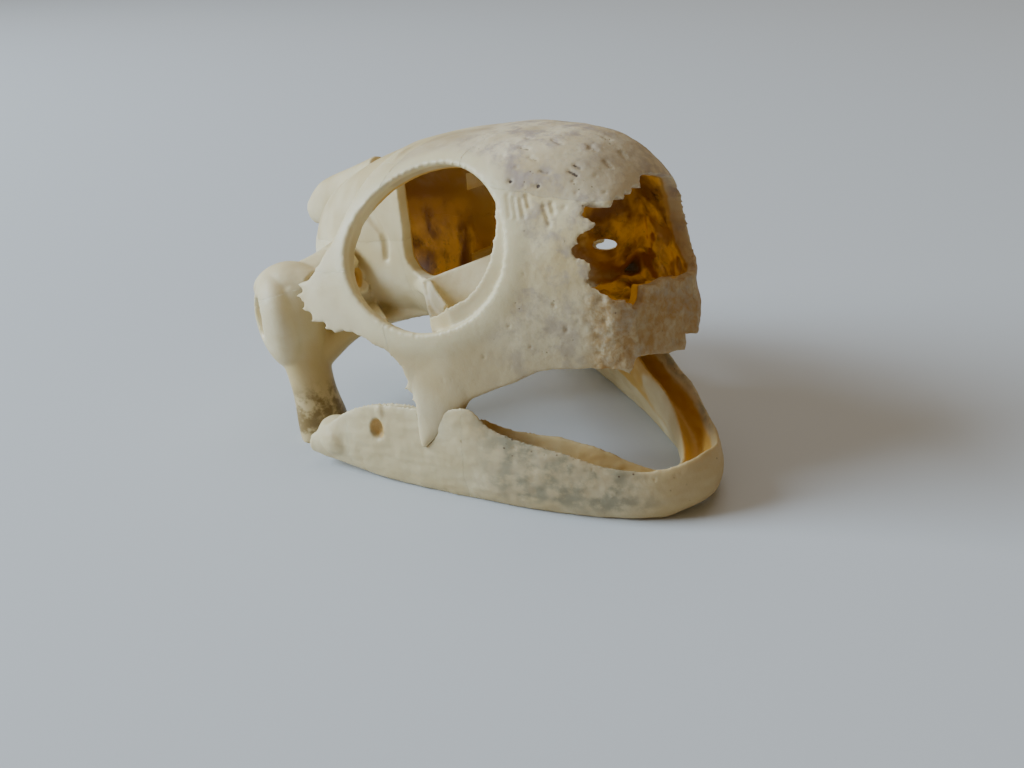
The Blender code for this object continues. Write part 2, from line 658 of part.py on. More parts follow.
def main():
    clear_scene()
    floor = box("floor", (-60.0, -40.0, -30.0), (30.0, 40.0, 0.0))
    cranium = cranium_whole()
    combine(cranium, both_sides(side_sutures) + middle_sutures(), "DIFFERENCE")
    seeds = list(MIDDLE_BONES)
    for name, place in SIDE_BONES:
        seeds.append((name + "_right", place))
        seeds.append((name + "_left", (place[0], -place[1], place[2])))
    bones = name_pieces(cranium, seeds)
    for bone in bones.values():
        bone.data.transform(pose_matrix())
    jaw = jaw_whole()
    for name in ("maxilla_right", "maxilla_left"):
        clear_of(jaw, bones[name])
    combine(jaw, jaw_cuts(), "DIFFERENCE")
    bones.update(name_pieces(jaw, jaw_seeds()))
    for name in LOW_BONES:
        spare_floor = floor.copy()
        bpy.context.scene.collection.objects.link(spare_floor)
        combine(bones[name], [spare_floor], "DIFFERENCE")
    drop([floor])
    for bone in bones.values():
        finish_node(bone)


if __name__ == "__main__":
    main()
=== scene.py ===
"""Turtle skull with its lower jaw, life size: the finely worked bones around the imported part.

The cranium is modelled whole in its own frame, in millimetres: x runs forward, y to the left,
z up, and the origin is the lower front edge of the beak. Each bone is then parted from its
neighbours along a hairline suture, posed on the level surface and dressed in its own finish.
"""

from __future__ import annotations

import json
import logging
import math
import random
from dataclasses import dataclass, field
from enum import Enum
from functools import lru_cache
from typing import Callable, Iterable, Sequence

import bmesh
import bpy
import numpy as np
from mathutils import Matrix, Vector, noise
from mathutils.bvhtree import BVHTree

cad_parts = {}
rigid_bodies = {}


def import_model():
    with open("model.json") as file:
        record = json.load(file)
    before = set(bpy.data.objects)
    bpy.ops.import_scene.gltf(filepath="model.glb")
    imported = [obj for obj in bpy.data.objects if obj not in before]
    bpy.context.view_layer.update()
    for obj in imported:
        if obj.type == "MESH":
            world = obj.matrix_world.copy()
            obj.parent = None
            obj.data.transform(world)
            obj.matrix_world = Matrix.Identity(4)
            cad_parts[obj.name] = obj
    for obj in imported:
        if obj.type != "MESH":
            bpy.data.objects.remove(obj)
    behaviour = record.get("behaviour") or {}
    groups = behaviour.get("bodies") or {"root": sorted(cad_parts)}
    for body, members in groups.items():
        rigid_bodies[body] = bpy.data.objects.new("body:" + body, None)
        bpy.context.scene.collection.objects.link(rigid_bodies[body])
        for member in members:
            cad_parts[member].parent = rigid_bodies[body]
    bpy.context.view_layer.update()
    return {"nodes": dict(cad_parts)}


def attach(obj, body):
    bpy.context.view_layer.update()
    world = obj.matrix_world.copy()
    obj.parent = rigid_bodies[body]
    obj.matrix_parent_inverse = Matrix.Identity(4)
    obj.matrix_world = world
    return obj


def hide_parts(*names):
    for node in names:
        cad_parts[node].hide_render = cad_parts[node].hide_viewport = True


LOG = logging.getLogger("turtle_skull")
MM = 0.001
BODY = "root"
# Maps that only shape the skin and aren't kept for the finish
SHAPING_MAPS = ("nasal", "outside", "bowl")
# Fewest vertices of a bone; what is smaller is a crumb
LEAST_BONE = 800

Place = tuple[float, float, float]
Colour = tuple[float, float, float]
Rows = tuple[tuple[float, ...], ...]
Outline = Sequence[tuple[float, float]]


class Slot(Enum):
    """Material slots of the record."""

    IVORY = "ivory_bone"
    ROOF = "roof_bone"
    STAINED = "stained_bone"
    AMBER = "amber_bone"
    BEAK = "beak_bone"


class Side(Enum):
    """The two sides of the animal, with the sign of y on each."""

    RIGHT = -1
    LEFT = 1

    @property
    def word(self) -> str:
        """Ending of a bone's name on this side."""
        return self.name.lower()


@lru_cache(maxsize=200_000)
def smooth_value(rows: Rows, column: int, x: float) -> float:
    """Value of a column at x, on a cubic through all rows.

    Args:
        rows: Rows that start with their place along the curve.
        column: Which value of the rows is wanted.
        x: Place along the curve, held inside its ends.

    Returns:
        The interpolated value.
    """
    ordered = sorted(rows)
    x = min(max(x, ordered[0][0]), ordered[-1][0])
    index = max(i for i, row in enumerate(ordered[:-1]) if row[0] <= x)
    low, high = ordered[index], ordered[index + 1]
    before = ordered[max(index - 1, 0)]
    after = ordered[min(index + 2, len(ordered) - 1)]
    span = high[0] - low[0]
    slope_low = (high[column] - before[column]) / (high[0] - before[0]) * span
    slope_high = (after[column] - low[column]) / (after[0] - low[0]) * span
    t = (x - low[0]) / span
    return (
        (2 * t**3 - 3 * t**2 + 1) * low[column]
        + (t**3 - 2 * t**2 + t) * slope_low
        + (3 * t**2 - 2 * t**3) * high[column]
        + (t**3 - t**2) * slope_high
    )


def signed_power(value: float, power: float) -> float:
    """A value raised to a power with its sign kept."""
    return math.copysign(abs(value) ** power, value)


def ease(value: np.ndarray, low: float, high: float) -> np.ndarray:
    """Smooth step from 0 at low to 1 at high.

    Args:
        value: Numbers to shape.
        low: Where the step starts.
        high: Where the step ends.

    Returns:
        The shaped numbers, from 0 to 1.
    """
    t = np.clip((value - low) / (high - low), 0.0, 1.0)
    return t * t * (3 - 2 * t)


class Bench:
    """Makes closed bodies with bmesh operators and joins or cuts them."""

    @staticmethod
    def link(name: str, bm: bmesh.types.BMesh) -> bpy.types.Object:
        """Turn a bmesh into an object of the scene.

        Args:
            name: Name of the object.
            bm: The finished bmesh, freed here.

        Returns:
            The new object.
        """
        mesh = bpy.data.meshes.new(name)
        bm.to_mesh(mesh)
        bm.free()
        item = bpy.data.objects.new(name, mesh)
        bpy.context.scene.collection.objects.link(item)
        return item

    @staticmethod
    def tube(
        name: str,
        spine: Callable[[float], Vector],
        wall: Callable[[float, float], Vector],
        along: int = 40,
        around: int = 56,
    ) -> bpy.types.Object:
        """Closed body swept along a spine.

        Args:
            name: Name of the object.
            spine: Centre at a share of the length.
            wall: Offset of the surface at a share of the length and a turn.
            along: Rings along the body.
            around: Points around it.

        Returns:
            The body.
        """
        bm = bmesh.new()
        bmesh.ops.create_uvsphere(bm, u_segments=around, v_segments=along + 1, radius=1.0)
        for vert in bm.verts:
            polar = math.acos(min(max(vert.co.z, -1.0), 1.0))
            turn = math.atan2(vert.co.y, vert.co.x)
            step = (polar / math.pi * (along + 1) - 1) / (along - 1)
            held = round(min(max(step, 0.0), 1.0), 6)
            is_pole = abs(step - held) > 0.5 / along
            vert.co = spine(held) if is_pole else spine(held) + wall(held, turn)
        bmesh.ops.recalc_face_normals(bm, faces=bm.faces)
        if bm.calc_volume(signed=True) < 0:
            bmesh.ops.reverse_faces(bm, faces=bm.faces)
        return Bench.link(name, bm)

    @staticmethod
    def limb(
        name: str,
        stops: Sequence[tuple[Place, float, float]],
        side: Vector,
        along: int = 28,
        around: int = 32,
    ) -> bpy.types.Object:
        """Tapered bar through stops.

        Args:
            name: Name of the object.
            stops: Centre, half width along side and half depth across it.
            side: Direction that the width follows.
            along: Rings along the bar.
            around: Points around it.

        Returns:
            The bar.
        """
        count = len(stops) - 1
        rows = tuple((float(i), *stop[0], stop[1], stop[2]) for i, stop in enumerate(stops))

        def spine(step: float) -> Vector:
            """Centre of the bar at a share of its length."""
            return Vector([smooth_value(rows, column, step * count) for column in (1, 2, 3)])

        def wall(step: float, turn: float) -> Vector:
            """Offset of the surface at a share of the length and a turn.

            Args:
                step: Share of the length.
                turn: Turn around the bar.

            Returns:
                The offset from the centre.
            """
            ahead = (spine(min(step + 0.02, 1.0)) - spine(max(step - 0.02, 0.0))).normalized()
            across = ahead.cross(side).normalized()
            wide = across.cross(ahead)
            return (
                wide * smooth_value(rows, 4, step * count) * math.cos(turn)
                + across * smooth_value(rows, 5, step * count) * math.sin(turn)
            )

        return Bench.tube(name, spine, wall, along, around)

    @staticmethod
    def blob(name: str, centre: Place, radii: Place, turn: Matrix | None = None) -> bpy.types.Object:
        """Ellipsoid.

        Args:
            name: Name of the object.
            centre: Its middle.
            radii: Its three half sizes.
            turn: Rotation about its middle, if any.

        Returns:
            The ellipsoid.
        """
        bm = bmesh.new()
        bmesh.ops.create_icosphere(bm, subdivisions=4, radius=1.0)
        bmesh.ops.scale(bm, vec=Vector(radii), verts=bm.verts)
        if turn is not None:
            bmesh.ops.rotate(bm, cent=Vector(), matrix=turn, verts=bm.verts)
        bmesh.ops.translate(bm, vec=Vector(centre), verts=bm.verts)
        return Bench.link(name, bm)

    @staticmethod
    def prism(
        name: str,
        outline: Outline,
        place: Callable[[float, float, float], Place],
        depth: float,
    ) -> bpy.types.Object:
        """Straight prism on an outline.

        Args:
            name: Name of the object.
            outline: Corners of the outline.
            place: Turns a corner and a depth into a position.
            depth: Length of the prism.

        Returns:
            The prism.
        """
        bm = bmesh.new()
        face = bm.faces.new([bm.verts.new(place(a, b, 0.0)) for a, b in outline])
        made = bmesh.ops.extrude_face_region(bm, geom=[face])
        shift = Vector(place(*outline[0], depth)) - Vector(place(*outline[0], 0.0))
        moved = [item for item in made["geom"] if isinstance(item, bmesh.types.BMVert)]
        bmesh.ops.translate(bm, verts=moved, vec=shift)
        bmesh.ops.triangulate(bm, faces=bm.faces)
        bmesh.ops.recalc_face_normals(bm, faces=bm.faces)
        return Bench.link(name, bm)

    @staticmethod
    def box(name: str, low: Place, high: Place) -> bpy.types.Object:
        """Box between two corners.

        Args:
            name: Name of the object.
            low: Lowest corner.
            high: Highest corner.

        Returns:
            The box.
        """
        bm = bmesh.new()
        bmesh.ops.create_cube(bm, size=1.0)
        bmesh.ops.scale(bm, vec=Vector(high) - Vector(low), verts=bm.verts)
        bmesh.ops.translate(bm, vec=(Vector(high) + Vector(low)) / 2, verts=bm.verts)
        return Bench.link(name, bm)

    @staticmethod
    def mirrored(item: bpy.types.Object) -> bpy.types.Object:
        """Copy of a right-hand body for the left side.

        Args:
            item: The body on the right.

        Returns:
            Its mirror image.
        """
        mesh = item.data.copy()
        mesh.transform(Matrix.Scale(-1, 4, (0, 1, 0)))
        mesh.flip_normals()
        twin = bpy.data.objects.new(item.name + "_left", mesh)
        bpy.context.scene.collection.objects.link(twin)
        return twin

    @staticmethod
    def both(bodies: Sequence[bpy.types.Object]) -> list[bpy.types.Object]:
        """The bodies of the right side with their mirror images."""
        return list(bodies) + [Bench.mirrored(item) for item in bodies]

    @staticmethod
    def settle(item: bpy.types.Object) -> None:
        """Apply all modifiers of an object to its mesh.

        Args:
            item: The object.
        """
        graph = bpy.context.evaluated_depsgraph_get()
        solid = bpy.data.meshes.new_from_object(item.evaluated_get(graph))
        item.modifiers.clear()
        item.data = solid

    @staticmethod
    def drop(items: Iterable[bpy.types.Object]) -> None:
        """Take objects out of the file."""
        for item in items:
            bpy.data.objects.remove(item, do_unlink=True)

    @staticmethod
    def combine(
        target: bpy.types.Object,
        others: Sequence[bpy.types.Object],
        operation: str,
    ) -> bpy.types.Object:
        """Boolean of a body with others, one after another.

        Args:
            target: The body that stays.
            others: The bodies that are used up.
            operation: UNION, DIFFERENCE or INTERSECT.

        Returns:
            The target.
        """
        for other in others:
            modifier = target.modifiers.new("combine", "BOOLEAN")
            modifier.operation = operation
            modifier.object = other
            modifier.solver = "MANIFOLD"
            Bench.settle(target)
        Bench.drop(others)
        return target

    @staticmethod
    def grow_together(item: bpy.types.Object, voxel: float, rounds: int) -> bpy.types.Object:
        """Even a joined body out into one fine, smooth skin.

        Args:
            item: The joined body.
            voxel: Size of the skin's cells.
            rounds: How often the skin is smoothed.

        Returns:
            The body.
        """
        remesh = item.modifiers.new("remesh", "REMESH")
        remesh.mode = "VOXEL"
        remesh.voxel_size = voxel
        smooth = item.modifiers.new("smooth", "SMOOTH")
        smooth.factor = 0.5
        smooth.iterations = rounds
        Bench.settle(item)
        return item

    @staticmethod
    def tree(item: bpy.types.Object) -> BVHTree:
        """Search tree over an object's faces.

        Args:
            item: The object.

        Returns:
            The tree.
        """
        bm = bmesh.new()
        bm.from_mesh(item.data)
        found = BVHTree.FromBMesh(bm)
        bm.free()
        return found


def ragged(
    outline: Outline, step: float, depth: float, seed: int, closed: bool = True
) -> list[tuple[float, float]]:
    """Outline with the small teeth of a broken bone edge.

    Args:
        outline: Corners of the outline.
        step: Longest side after the teeth are put in.
        depth: How far a tooth may stand off the line.
        seed: Seed of the random draws.
        closed: Whether the last corner joins the first.

    Returns:
        The toothed outline.
    """
    draw = random.Random(seed)
    made: list[tuple[float, float]] = []
    ends = list(outline[1:]) + ([outline[0]] if closed else [])
    for here, there in zip(outline, ends):
        run = Vector(there) - Vector(here)
        parts = max(1, round(run.length / step))
        side = Vector((-run.y, run.x)).normalized()
        for part in range(parts):
            offset = draw.uniform(-depth, depth) if part else 0.0
            point = Vector(here) + run * part / parts + side * offset
            made.append((point.x, point.y))
    return made


@dataclass(frozen=True)
class Pose:
    """Place of the cranium on the level surface, and of the surface in the row frame."""

    yaw: float = math.radians(3.48)
    pitch: float = math.radians(9.39)
    seat: Place = (-2.08, 0.03, 9.69)
    middle: Place = (-19.0, -1.1, 0.0)

    def cranium(self) -> Matrix:
        """Skull frame to the frame of the level surface, in millimetres."""
        turn = Matrix.Rotation(self.yaw, 4, "Z") @ Matrix.Rotation(-self.pitch, 4, "Y")
        return Matrix.Translation(self.seat) @ turn

    def row(self) -> Matrix:
        """Frame of the level surface to the row frame, in metres."""
        return Matrix.Scale(MM, 4) @ Matrix.Translation(-Vector(self.middle))


@dataclass
class HeadShell:
    """Outer shell of the head: snout, skull roof, sockets and cheeks."""

    # x, top of roof, widest height, half width, lower edge
    stations: Rows = (
        (0.15, 10.9, 6.6, 3.5, -0.4),
        (-0.4, 12.05, 6.4, 4.5, -0.9),
        (-1.2, 12.95, 6.2, 5.1, -1.4),
        (-2.6, 14.05, 5.6, 5.9, -2.4),
        (-4.5, 14.8, 4.6, 6.9, -4.0),
        (-7.5, 15.35, 3.4, 8.6, -8.0),
        (-12.4, 15.7, 2.0, 11.0, -10.0),
        (-17.0, 15.6, 2.4, 12.3, -8.0),
        (-21.0, 15.15, 3.0, 13.0, -6.0),
        (-25.0, 14.7, 3.4, 13.2, -4.0),
    )
    roof_fullness: float = 0.72
    # Where the shell starts and ends, and where the probe of its outer skin ends
    front: float = 0.15
    rear: float = -23.5
    probe_rear: float = -24.5
    wall: float = 1.05
    roof_wall: float = 1.4
    orbit_centre: Vector = field(default_factory=lambda: Vector((-12.1, -8.9, 9.45)))
    orbit_axis: Vector = field(default_factory=lambda: Vector((0.325, -0.899, 0.279)))
    orbit_half_length: float = 5.9
    orbit_half_height: float = 5.45
    # Share by which the rim is drawn in at its upper rear
    orbit_corner: float = 0.05
    # Edge of the broken nose opening, seen from the front: y, z
    naris_edge: Outline = (
        (-3.95, 11.1), (-3.7, 10.75), (-3.3, 10.6), (-3.0, 10.95), (-2.6, 11.2), (-2.4, 10.8),
        (-2.1, 11.3),
        (-1.6, 11.0), (-1.35, 11.45), (-0.9, 11.5), (-0.6, 11.15), (-0.3, 11.75), (0.2, 11.9),
        (1.2, 11.6),
        (3.0, 11.1), (4.2, 10.1), (4.8, 8.5), (4.95, 6.6), (4.5, 5.3), (3.4, 4.7), (1.8, 4.6),
        (0.6, 5.1),
        (-0.6, 5.0), (-1.7, 5.3), (-2.1, 4.4), (-2.9, 4.1), (-3.6, 4.9), (-4.4, 5.2), (-5.2, 6.4),
        (-5.0, 7.4), (-5.4, 8.3), (-5.0, 9.3), (-4.3, 9.7), (-4.5, 10.6),
    )
    naris_depth: float = 7.0
    # Side outline of the cheek, from the beak round to the roof: x, z
    beak_edge: Outline = (
        (2.0, -0.3), (-0.5, -0.3), (-0.8, 0.3), (-1.8, 0.5), (-4.5, 0.85), (-5.4, 0.75), (-6.8, 0.15),
        (-8.4, -0.35), (-9.8, -0.85), (-10.8, -1.2), (-12.4, -1.3),
    )
    cheek_edge: Outline = (
        (-13.2, -1.0), (-13.6, -0.6), (-13.4, -0.1), (-13.9, 0.3), (-13.5, 0.8), (-13.9, 2.0),
        (-14.8, 3.0),
        (-16.6, 3.9), (-18.2, 4.4), (-18.9, 4.2), (-19.8, 4.6), (-19.6, 5.1), (-21.2, 4.9),
        (-20.9, 5.5),
        (-22.3, 5.8), (-21.5, 6.2), (-22.8, 6.8), (-21.5, 7.0), (-22.4, 7.6), (-21.3, 7.8),
        (-20.1, 8.9),
        (-19.0, 10.4), (-18.3, 12.6), (-18.3, 19.0),
    )
    # Lower edge of the broken beak tip, seen from the front: y, z
    beak_notch: Outline = (
        (-3.7, -3.0), (-3.6, -0.2), (-3.3, 0.85), (-2.4, 0.8), (-1.2, 0.45), (0.4, 0.15), (1.4, -0.15),
        (1.6, 0.75), (2.1, 0.95), (3.0, 0.5), (4.2, 0.3), (7.0, 0.2), (7.0, -3.0),
    )
    notch_depth: float = 3.7
    inner: BVHTree | None = None

    def section(self, x: float, turn: float, inset: float = 0.0, roof_inset: float = 0.0) -> Vector:
        """Point of the head's cross-section.

        Args:
            x: Place along the skull.
            turn: 0 at the top and pi at the bottom.
            inset: How far inside the outer skin at the sides.
            roof_inset: How far inside it at the roof.

        Returns:
            The point in the skull frame.
        """
        top = smooth_value(self.stations, 1, x) - roof_inset
        widest = smooth_value(self.stations, 2, x)
        half_width = smooth_value(self.stations, 3, x) - inset
        low = smooth_value(self.stations, 4, x) - (6.0 if inset else 0.0)
        sine, cosine = math.sin(turn), math.cos(turn)
        if cosine >= 0:
            y = half_width * signed_power(sine, self.roof_fullness)
            return Vector((x, y, widest + (top - widest) * cosine**0.95))
        y = half_width * signed_power(sine, 0.35)
        return Vector((x, y, widest + (low - widest) * abs(cosine) ** 0.8))

    def skin(self, name: str, front: float, rear: float, inset: float, roof_inset: float) -> bpy.types.Object:
        """Closed body inside the head's outer skin.

        Args:
            name: Name of the object.
            front: Where it starts.
            rear: Where it ends.
            inset: How far inside the skin at the sides.
            roof_inset: How far inside it at the roof.

        Returns:
            The body.
        """

        def spine(step: float) -> Vector:
            """Centre of the head at a share of the length."""
            x = round(front + (rear - front) * step**1.5, 6)
            return Vector((x, 0.0, smooth_value(self.stations, 2, x)))

        def wall(step: float, turn: float) -> Vector:
            """Offset of the skin at a share of the length and a turn."""
            place = spine(step)
            return self.section(round(place.x, 6), turn, inset, roof_inset) - place

        return Bench.tube(name, spine, wall, along=90, around=150)

    def orbit_frame(self) -> tuple[Vector, Vector]:
        """Directions along and up the socket's rim."""
        across = self.orbit_axis.cross(Vector((0, 0, 1))).normalized()
        return across, across.cross(self.orbit_axis).normalized()

    def orbit_edge(self, turn: float) -> Vector:
        """Offset of the socket's rim from its middle at a turn; 0 is the rear and pi/2 the top.

        Args:
            turn: Turn around the rim.

        Returns:
            The offset.
        """
        across, up = self.orbit_frame()
        drawn = 1.0 - self.orbit_corner * max(0.0, math.cos(turn - math.pi / 4)) ** 4
        long_way = across * self.orbit_half_length * math.cos(turn)
        return (long_way + up * self.orbit_half_height * math.sin(turn)) * drawn

    def orbit(self) -> bpy.types.Object:
        """Cutter for the right eye socket.

        Returns:
            The cutter.
        """

        def spine(step: float) -> Vector:
            """Centre of the socket at a share of its depth."""
            return self.orbit_centre + self.orbit_axis * (4.0 - 7.5 * step)

        def wall(step: float, turn: float) -> Vector:
            """Edge of the socket at a share of its depth and a turn."""
            return self.orbit_edge(turn) * (1.0 + 0.10 * (1 - step))

        return Bench.tube("orbit", spine, wall, along=6, around=120)

    def naris(self) -> bpy.types.Object:
        """Cutter for the broken nose opening."""
        edge = ragged(self.naris_edge, 0.3, 0.1, 3)
        return Bench.prism("naris", edge, lambda a, b, c: (2.0 - c, a, b), self.naris_depth)

    def cheek(self) -> bpy.types.Object:
        """Cutter below and behind the cheeks, with the broken teeth of their rear edge.

        Returns:
            The cutter.
        """
        teeth = ragged(self.cheek_edge[:-1], 0.38, 0.11, 11, closed=False)
        rest = [self.cheek_edge[-1], (-40.0, 19.0), (-40.0, -14.0), (2.0, -14.0)]
        outline = list(self.beak_edge) + teeth + rest
        return Bench.prism("cheek", outline, lambda a, b, c: (a, c - 18.0, b), 36.0)

    def shell(self) -> bpy.types.Object:
        """Hollow shell of the head with its openings.

        Returns:
            The shell.
        """
        shell = self.skin("cranium", self.front, self.rear, 0.0, 0.0)
        cavity = self.skin("cavity", -1.15, -25.0, self.wall, self.roof_wall)
        self.inner = Bench.tree(cavity)
        Bench.combine(shell, [cavity], "DIFFERENCE")
        edge = ragged(self.beak_notch, 0.35, 0.06, 5)
        notch = Bench.prism("beak_notch", edge, lambda a, b, c: (2.0 - c, a, b), self.notch_depth)
        cuts = [self.cheek(), self.naris(), notch] + Bench.both([self.orbit()])
        return Bench.combine(shell, cuts, "DIFFERENCE")

    def outer_tree(self) -> BVHTree:
        """Search tree over the outer skin without its openings.

        Returns:
            The tree.
        """
        probe = self.skin("outer_probe", self.front, self.probe_rear, 0.0, 0.0)
        tree = Bench.tree(probe)
        Bench.drop([probe])
        return tree

    def rim_points(self, tree: BVHTree, count: int = 96) -> list[Vector]:
        """Points on the rim of the right socket.

        Args:
            tree: The outer skin.
            count: How many points go round.

        Returns:
            Points where the socket's edge meets the outer skin.
        """
        points = []
        for index in range(count):
            edge = self.orbit_edge(2 * math.pi * index / count)
            start = self.orbit_centre + edge * 1.05 + self.orbit_axis * 8.0
            hit = tree.ray_cast(start, -self.orbit_axis)[0]
            points.append(hit if hit else self.orbit_centre + edge)
        return points


@dataclass
class Interior:
    """Braincase, palate, orbit floors and crest inside and behind the shell."""

    # x, roof height, roof half width, wall half width, floor
    brain: Rows = (
        (-17.0, 15.5, 7.4, 6.0, 12.0),
        (-18.6, 15.35, 6.9, 4.4, 3.0),
        (-21.5, 14.9, 5.6, 4.3, 2.2),
        (-24.5, 14.2, 4.6, 4.7, 2.0),
        (-28.0, 13.2, 3.6, 5.0, 2.0),
        (-31.0, 12.0, 2.6, 4.4, 2.2),
        (-32.8, 10.4, 2.0, 3.6, 2.6),
    )
    brain_wall: float = 1.0
    # x, height, half width
    palate: Rows = (
        (-1.0, 2.6, 3.4), (-4.0, 2.9, 6.4), (-8.0, 3.3, 8.6), (-12.0, 3.3, 9.4), (-14.5, 3.3, 6.2),
        (-17.5, 3.6, 3.3), (-21.5, 3.4, 3.0), (-25.5, 2.8, 5.2), (-28.5, 2.7, 6.2),
    )
    palate_thickness: float = 1.2
    bowl_centre: Vector = field(default_factory=lambda: Vector((-12.3, -6.0, 9.4)))
    bowl_radii: Place = (6.4, 6.0, 7.0)
    # The bowl's hollow: its middle from the bowl's, and its half sizes
    bowl_shift: Vector = field(default_factory=lambda: Vector((-0.6, -0.3, 0.4)))
    bowl_hollow: Place = (5.7, 5.3, 6.2)
    # Top edge of the orbit floor from the side: x, z
    bowl_edge: Outline = ((-9.0, 24.0), (-9.0, 8.3), (-24.0, 4.1), (-24.0, 24.0))
    # Rear edge of the orbit floor from above: x, y
    bowl_rear: Outline = (
        (-12.0, -16.0), (-12.5, -8.6), (-15.4, -6.9), (-17.9, -5.0), (-18.3, 2.0), (-26.0, 2.0),
        (-26.0, -16.0),
    )
    # Open front of the braincase from the side, between the two pillars: x, z
    brain_front: Outline = (
        (-12.0, 15.0), (-17.4, 14.6), (-18.2, 13.6), (-18.6, 12.2), (-19.2, 10.2), (-19.8, 8.2),
        (-19.95, 7.2),
        (-19.5, 6.3), (-18.6, 5.75), (-17.0, 5.6), (-12.0, 5.2),
    )
    # Vessel hole in the side wall: middle and half sizes
    foramen: tuple[Place, Place] = ((-24.35, -5.4, 5.95), (0.85, 0.55, 1.15))
    # See-through slit between the nose and the left socket: both ends of its middle line
    slit_line: tuple[Place, Place] = ((-2.0, -2.6, 8.2), (-17.0, 14.4, 3.3))
    # How much further forward the left pillar stands
    left_pillar: float = 1.7
    hollow: BVHTree | None = None

    def brain_body(self, name: str, front: float, rear: float, inset: float) -> bpy.types.Object:
        """Tube of the braincase under the parietal roof.

        Args:
            name: Name of the object.
            front: Where it starts.
            rear: Where it ends.
            inset: How far inside the outer surface.

        Returns:
            The tube.
        """

        def spine(step: float) -> Vector:
            """Centre of the braincase at a share of the length.

            Args:
                step: Share of the length.

            Returns:
                The centre.
            """
            x = round(front + (rear - front) * step, 6)
            low, high = smooth_value(self.brain, 4, x), smooth_value(self.brain, 1, x)
            return Vector((x, 0.0, (low + high) / 2))

        def wall(step: float, turn: float) -> Vector:
            """Offset of the wall at a share of the length and a turn.

            Args:
                step: Share of the length.
                turn: Turn around the tube.

            Returns:
                The offset from the centre.
            """
            x = round(spine(step).x, 6)
            half_height = (smooth_value(self.brain, 1, x) - smooth_value(self.brain, 4, x)) / 2
            spread = ((math.cos(turn) + 1) / 2) ** 3
            roof, side = smooth_value(self.brain, 2, x), smooth_value(self.brain, 3, x)
            half_width = roof * spread + side * (1 - spread)
            y = (half_width - inset) * signed_power(math.sin(turn), 0.6)
            z = (half_height - inset) * signed_power(math.cos(turn), 0.7)
            return Vector((0.0, y, z))

        return Bench.tube(name, spine, wall, along=60, around=96)

    def braincase(self) -> bpy.types.Object:
        """Braincase with its hollow, its open front and its foramina.

        Returns:
            The braincase.
        """
        brain = self.brain_body("braincase", -17.0, -32.8, 0.0)
        hollow = self.brain_body("brain_hollow", -16.0, -31.8, self.brain_wall)
        self.hollow = Bench.tree(hollow)
        ahead = [(a + self.left_pillar, b) for a, b in self.brain_front]
        fronts = [
            Bench.prism("brain_front_right", self.brain_front, lambda a, b, c: (a, c - 9.0, b), 9.3),
            Bench.prism("brain_front_left", ahead, lambda a, b, c: (a, c, b), 9.0),
        ]
        magnum = Bench.limb("foramen_magnum", [
            ((-30.0, 0.0, 6.6), 1.9, 2.2), ((-36.0, 0.0, 6.6), 2.0, 2.4),
        ], Vector((0, 1, 0)))
        groove = Bench.limb("wall_groove", [
            ((-24.0, -4.5, 12.0), 0.55, 0.5), ((-22.8, -4.65, 10.2), 0.5, 0.5),
            ((-21.9, -4.6, 8.9), 0.45, 0.5),
            ((-22.2, -4.55, 7.0), 0.35, 0.4),
        ], Vector((1, 0, 0)))
        return Bench.combine(brain, [hollow, *fronts, magnum] + Bench.both([groove]), "DIFFERENCE")

    def palate_body(self) -> bpy.types.Object:
        """Roof of the mouth with the inner nostrils.

        Returns:
            The palate.
        """

        def spine(step: float) -> Vector:
            """Middle of the palate at a share of its length."""
            x = round(self.palate[0][0] + (self.palate[-1][0] - self.palate[0][0]) * step, 6)
            return Vector((x, 0.0, smooth_value(self.palate, 1, x)))

        def wall(step: float, turn: float) -> Vector:
            """Offset of the palate's surface at a share of the length and a turn.

            Args:
                step: Share of the length.
                turn: Turn around the palate.

            Returns:
                The offset from the middle.
            """
            half_width = smooth_value(self.palate, 2, round(spine(step).x, 6))
            y = half_width * signed_power(math.cos(turn), 0.8)
            z = self.palate_thickness / 2 * signed_power(math.sin(turn), 0.5)
            return Vector((0.0, y, z - 0.9 * (y / half_width) ** 2))

        palate = Bench.tube("palate", spine, wall, along=70, around=80)
        choana = Bench.blob("choana", (-9.8, -2.1, 3.0), (2.6, 1.3, 2.4))
        return Bench.combine(palate, Bench.both([choana]), "DIFFERENCE")

    def orbit_floor(self, head: HeadShell) -> bpy.types.Object:
        """Thin bowl between mouth, nose and the right socket.

        Args:
            head: The shell that the bowl stays inside.

        Returns:
            The bowl.
        """
        bowl = Bench.blob("orbit_floor", tuple(self.bowl_centre), self.bowl_radii)
        cuts = [
            Bench.blob("orbit_hollow", tuple(self.bowl_centre + self.bowl_shift), self.bowl_hollow),
            Bench.prism("orbit_above", self.bowl_edge, lambda a, b, c: (a, c - 16.0, b), 18.0),
            Bench.prism("orbit_behind", self.bowl_rear, lambda a, b, c: (a, b, c - 5.0), 27.0),
            Bench.box("orbit_outside", (-22.0, -22.0, -5.0), (0.0, -9.4, 22.0)),
        ]
        Bench.combine(bowl, cuts, "DIFFERENCE")
        return Bench.combine(bowl, [head.skin("orbit_limit", -1.0, -23.5, 0.5, 0.5)], "INTERSECT")

    def saddle(self) -> bpy.types.Object:
        """Low wall that carries the right orbit floor back to the braincase's pillar.

        Returns:
            The wall.
        """
        return Bench.limb("saddle", [
            ((-13.8, -6.6, 4.4), 0.20, 0.4), ((-15.4, -6.0, 4.8), 0.26, 0.85),
            ((-16.8, -5.1, 5.0), 0.28, 0.95),
            ((-18.3, -4.35, 5.1), 0.26, 0.8), ((-19.8, -3.9, 5.2), 0.22, 0.5),
            ((-21.0, -3.6, 5.2), 0.16, 0.3),
        ], Vector((0, 1, 0)))

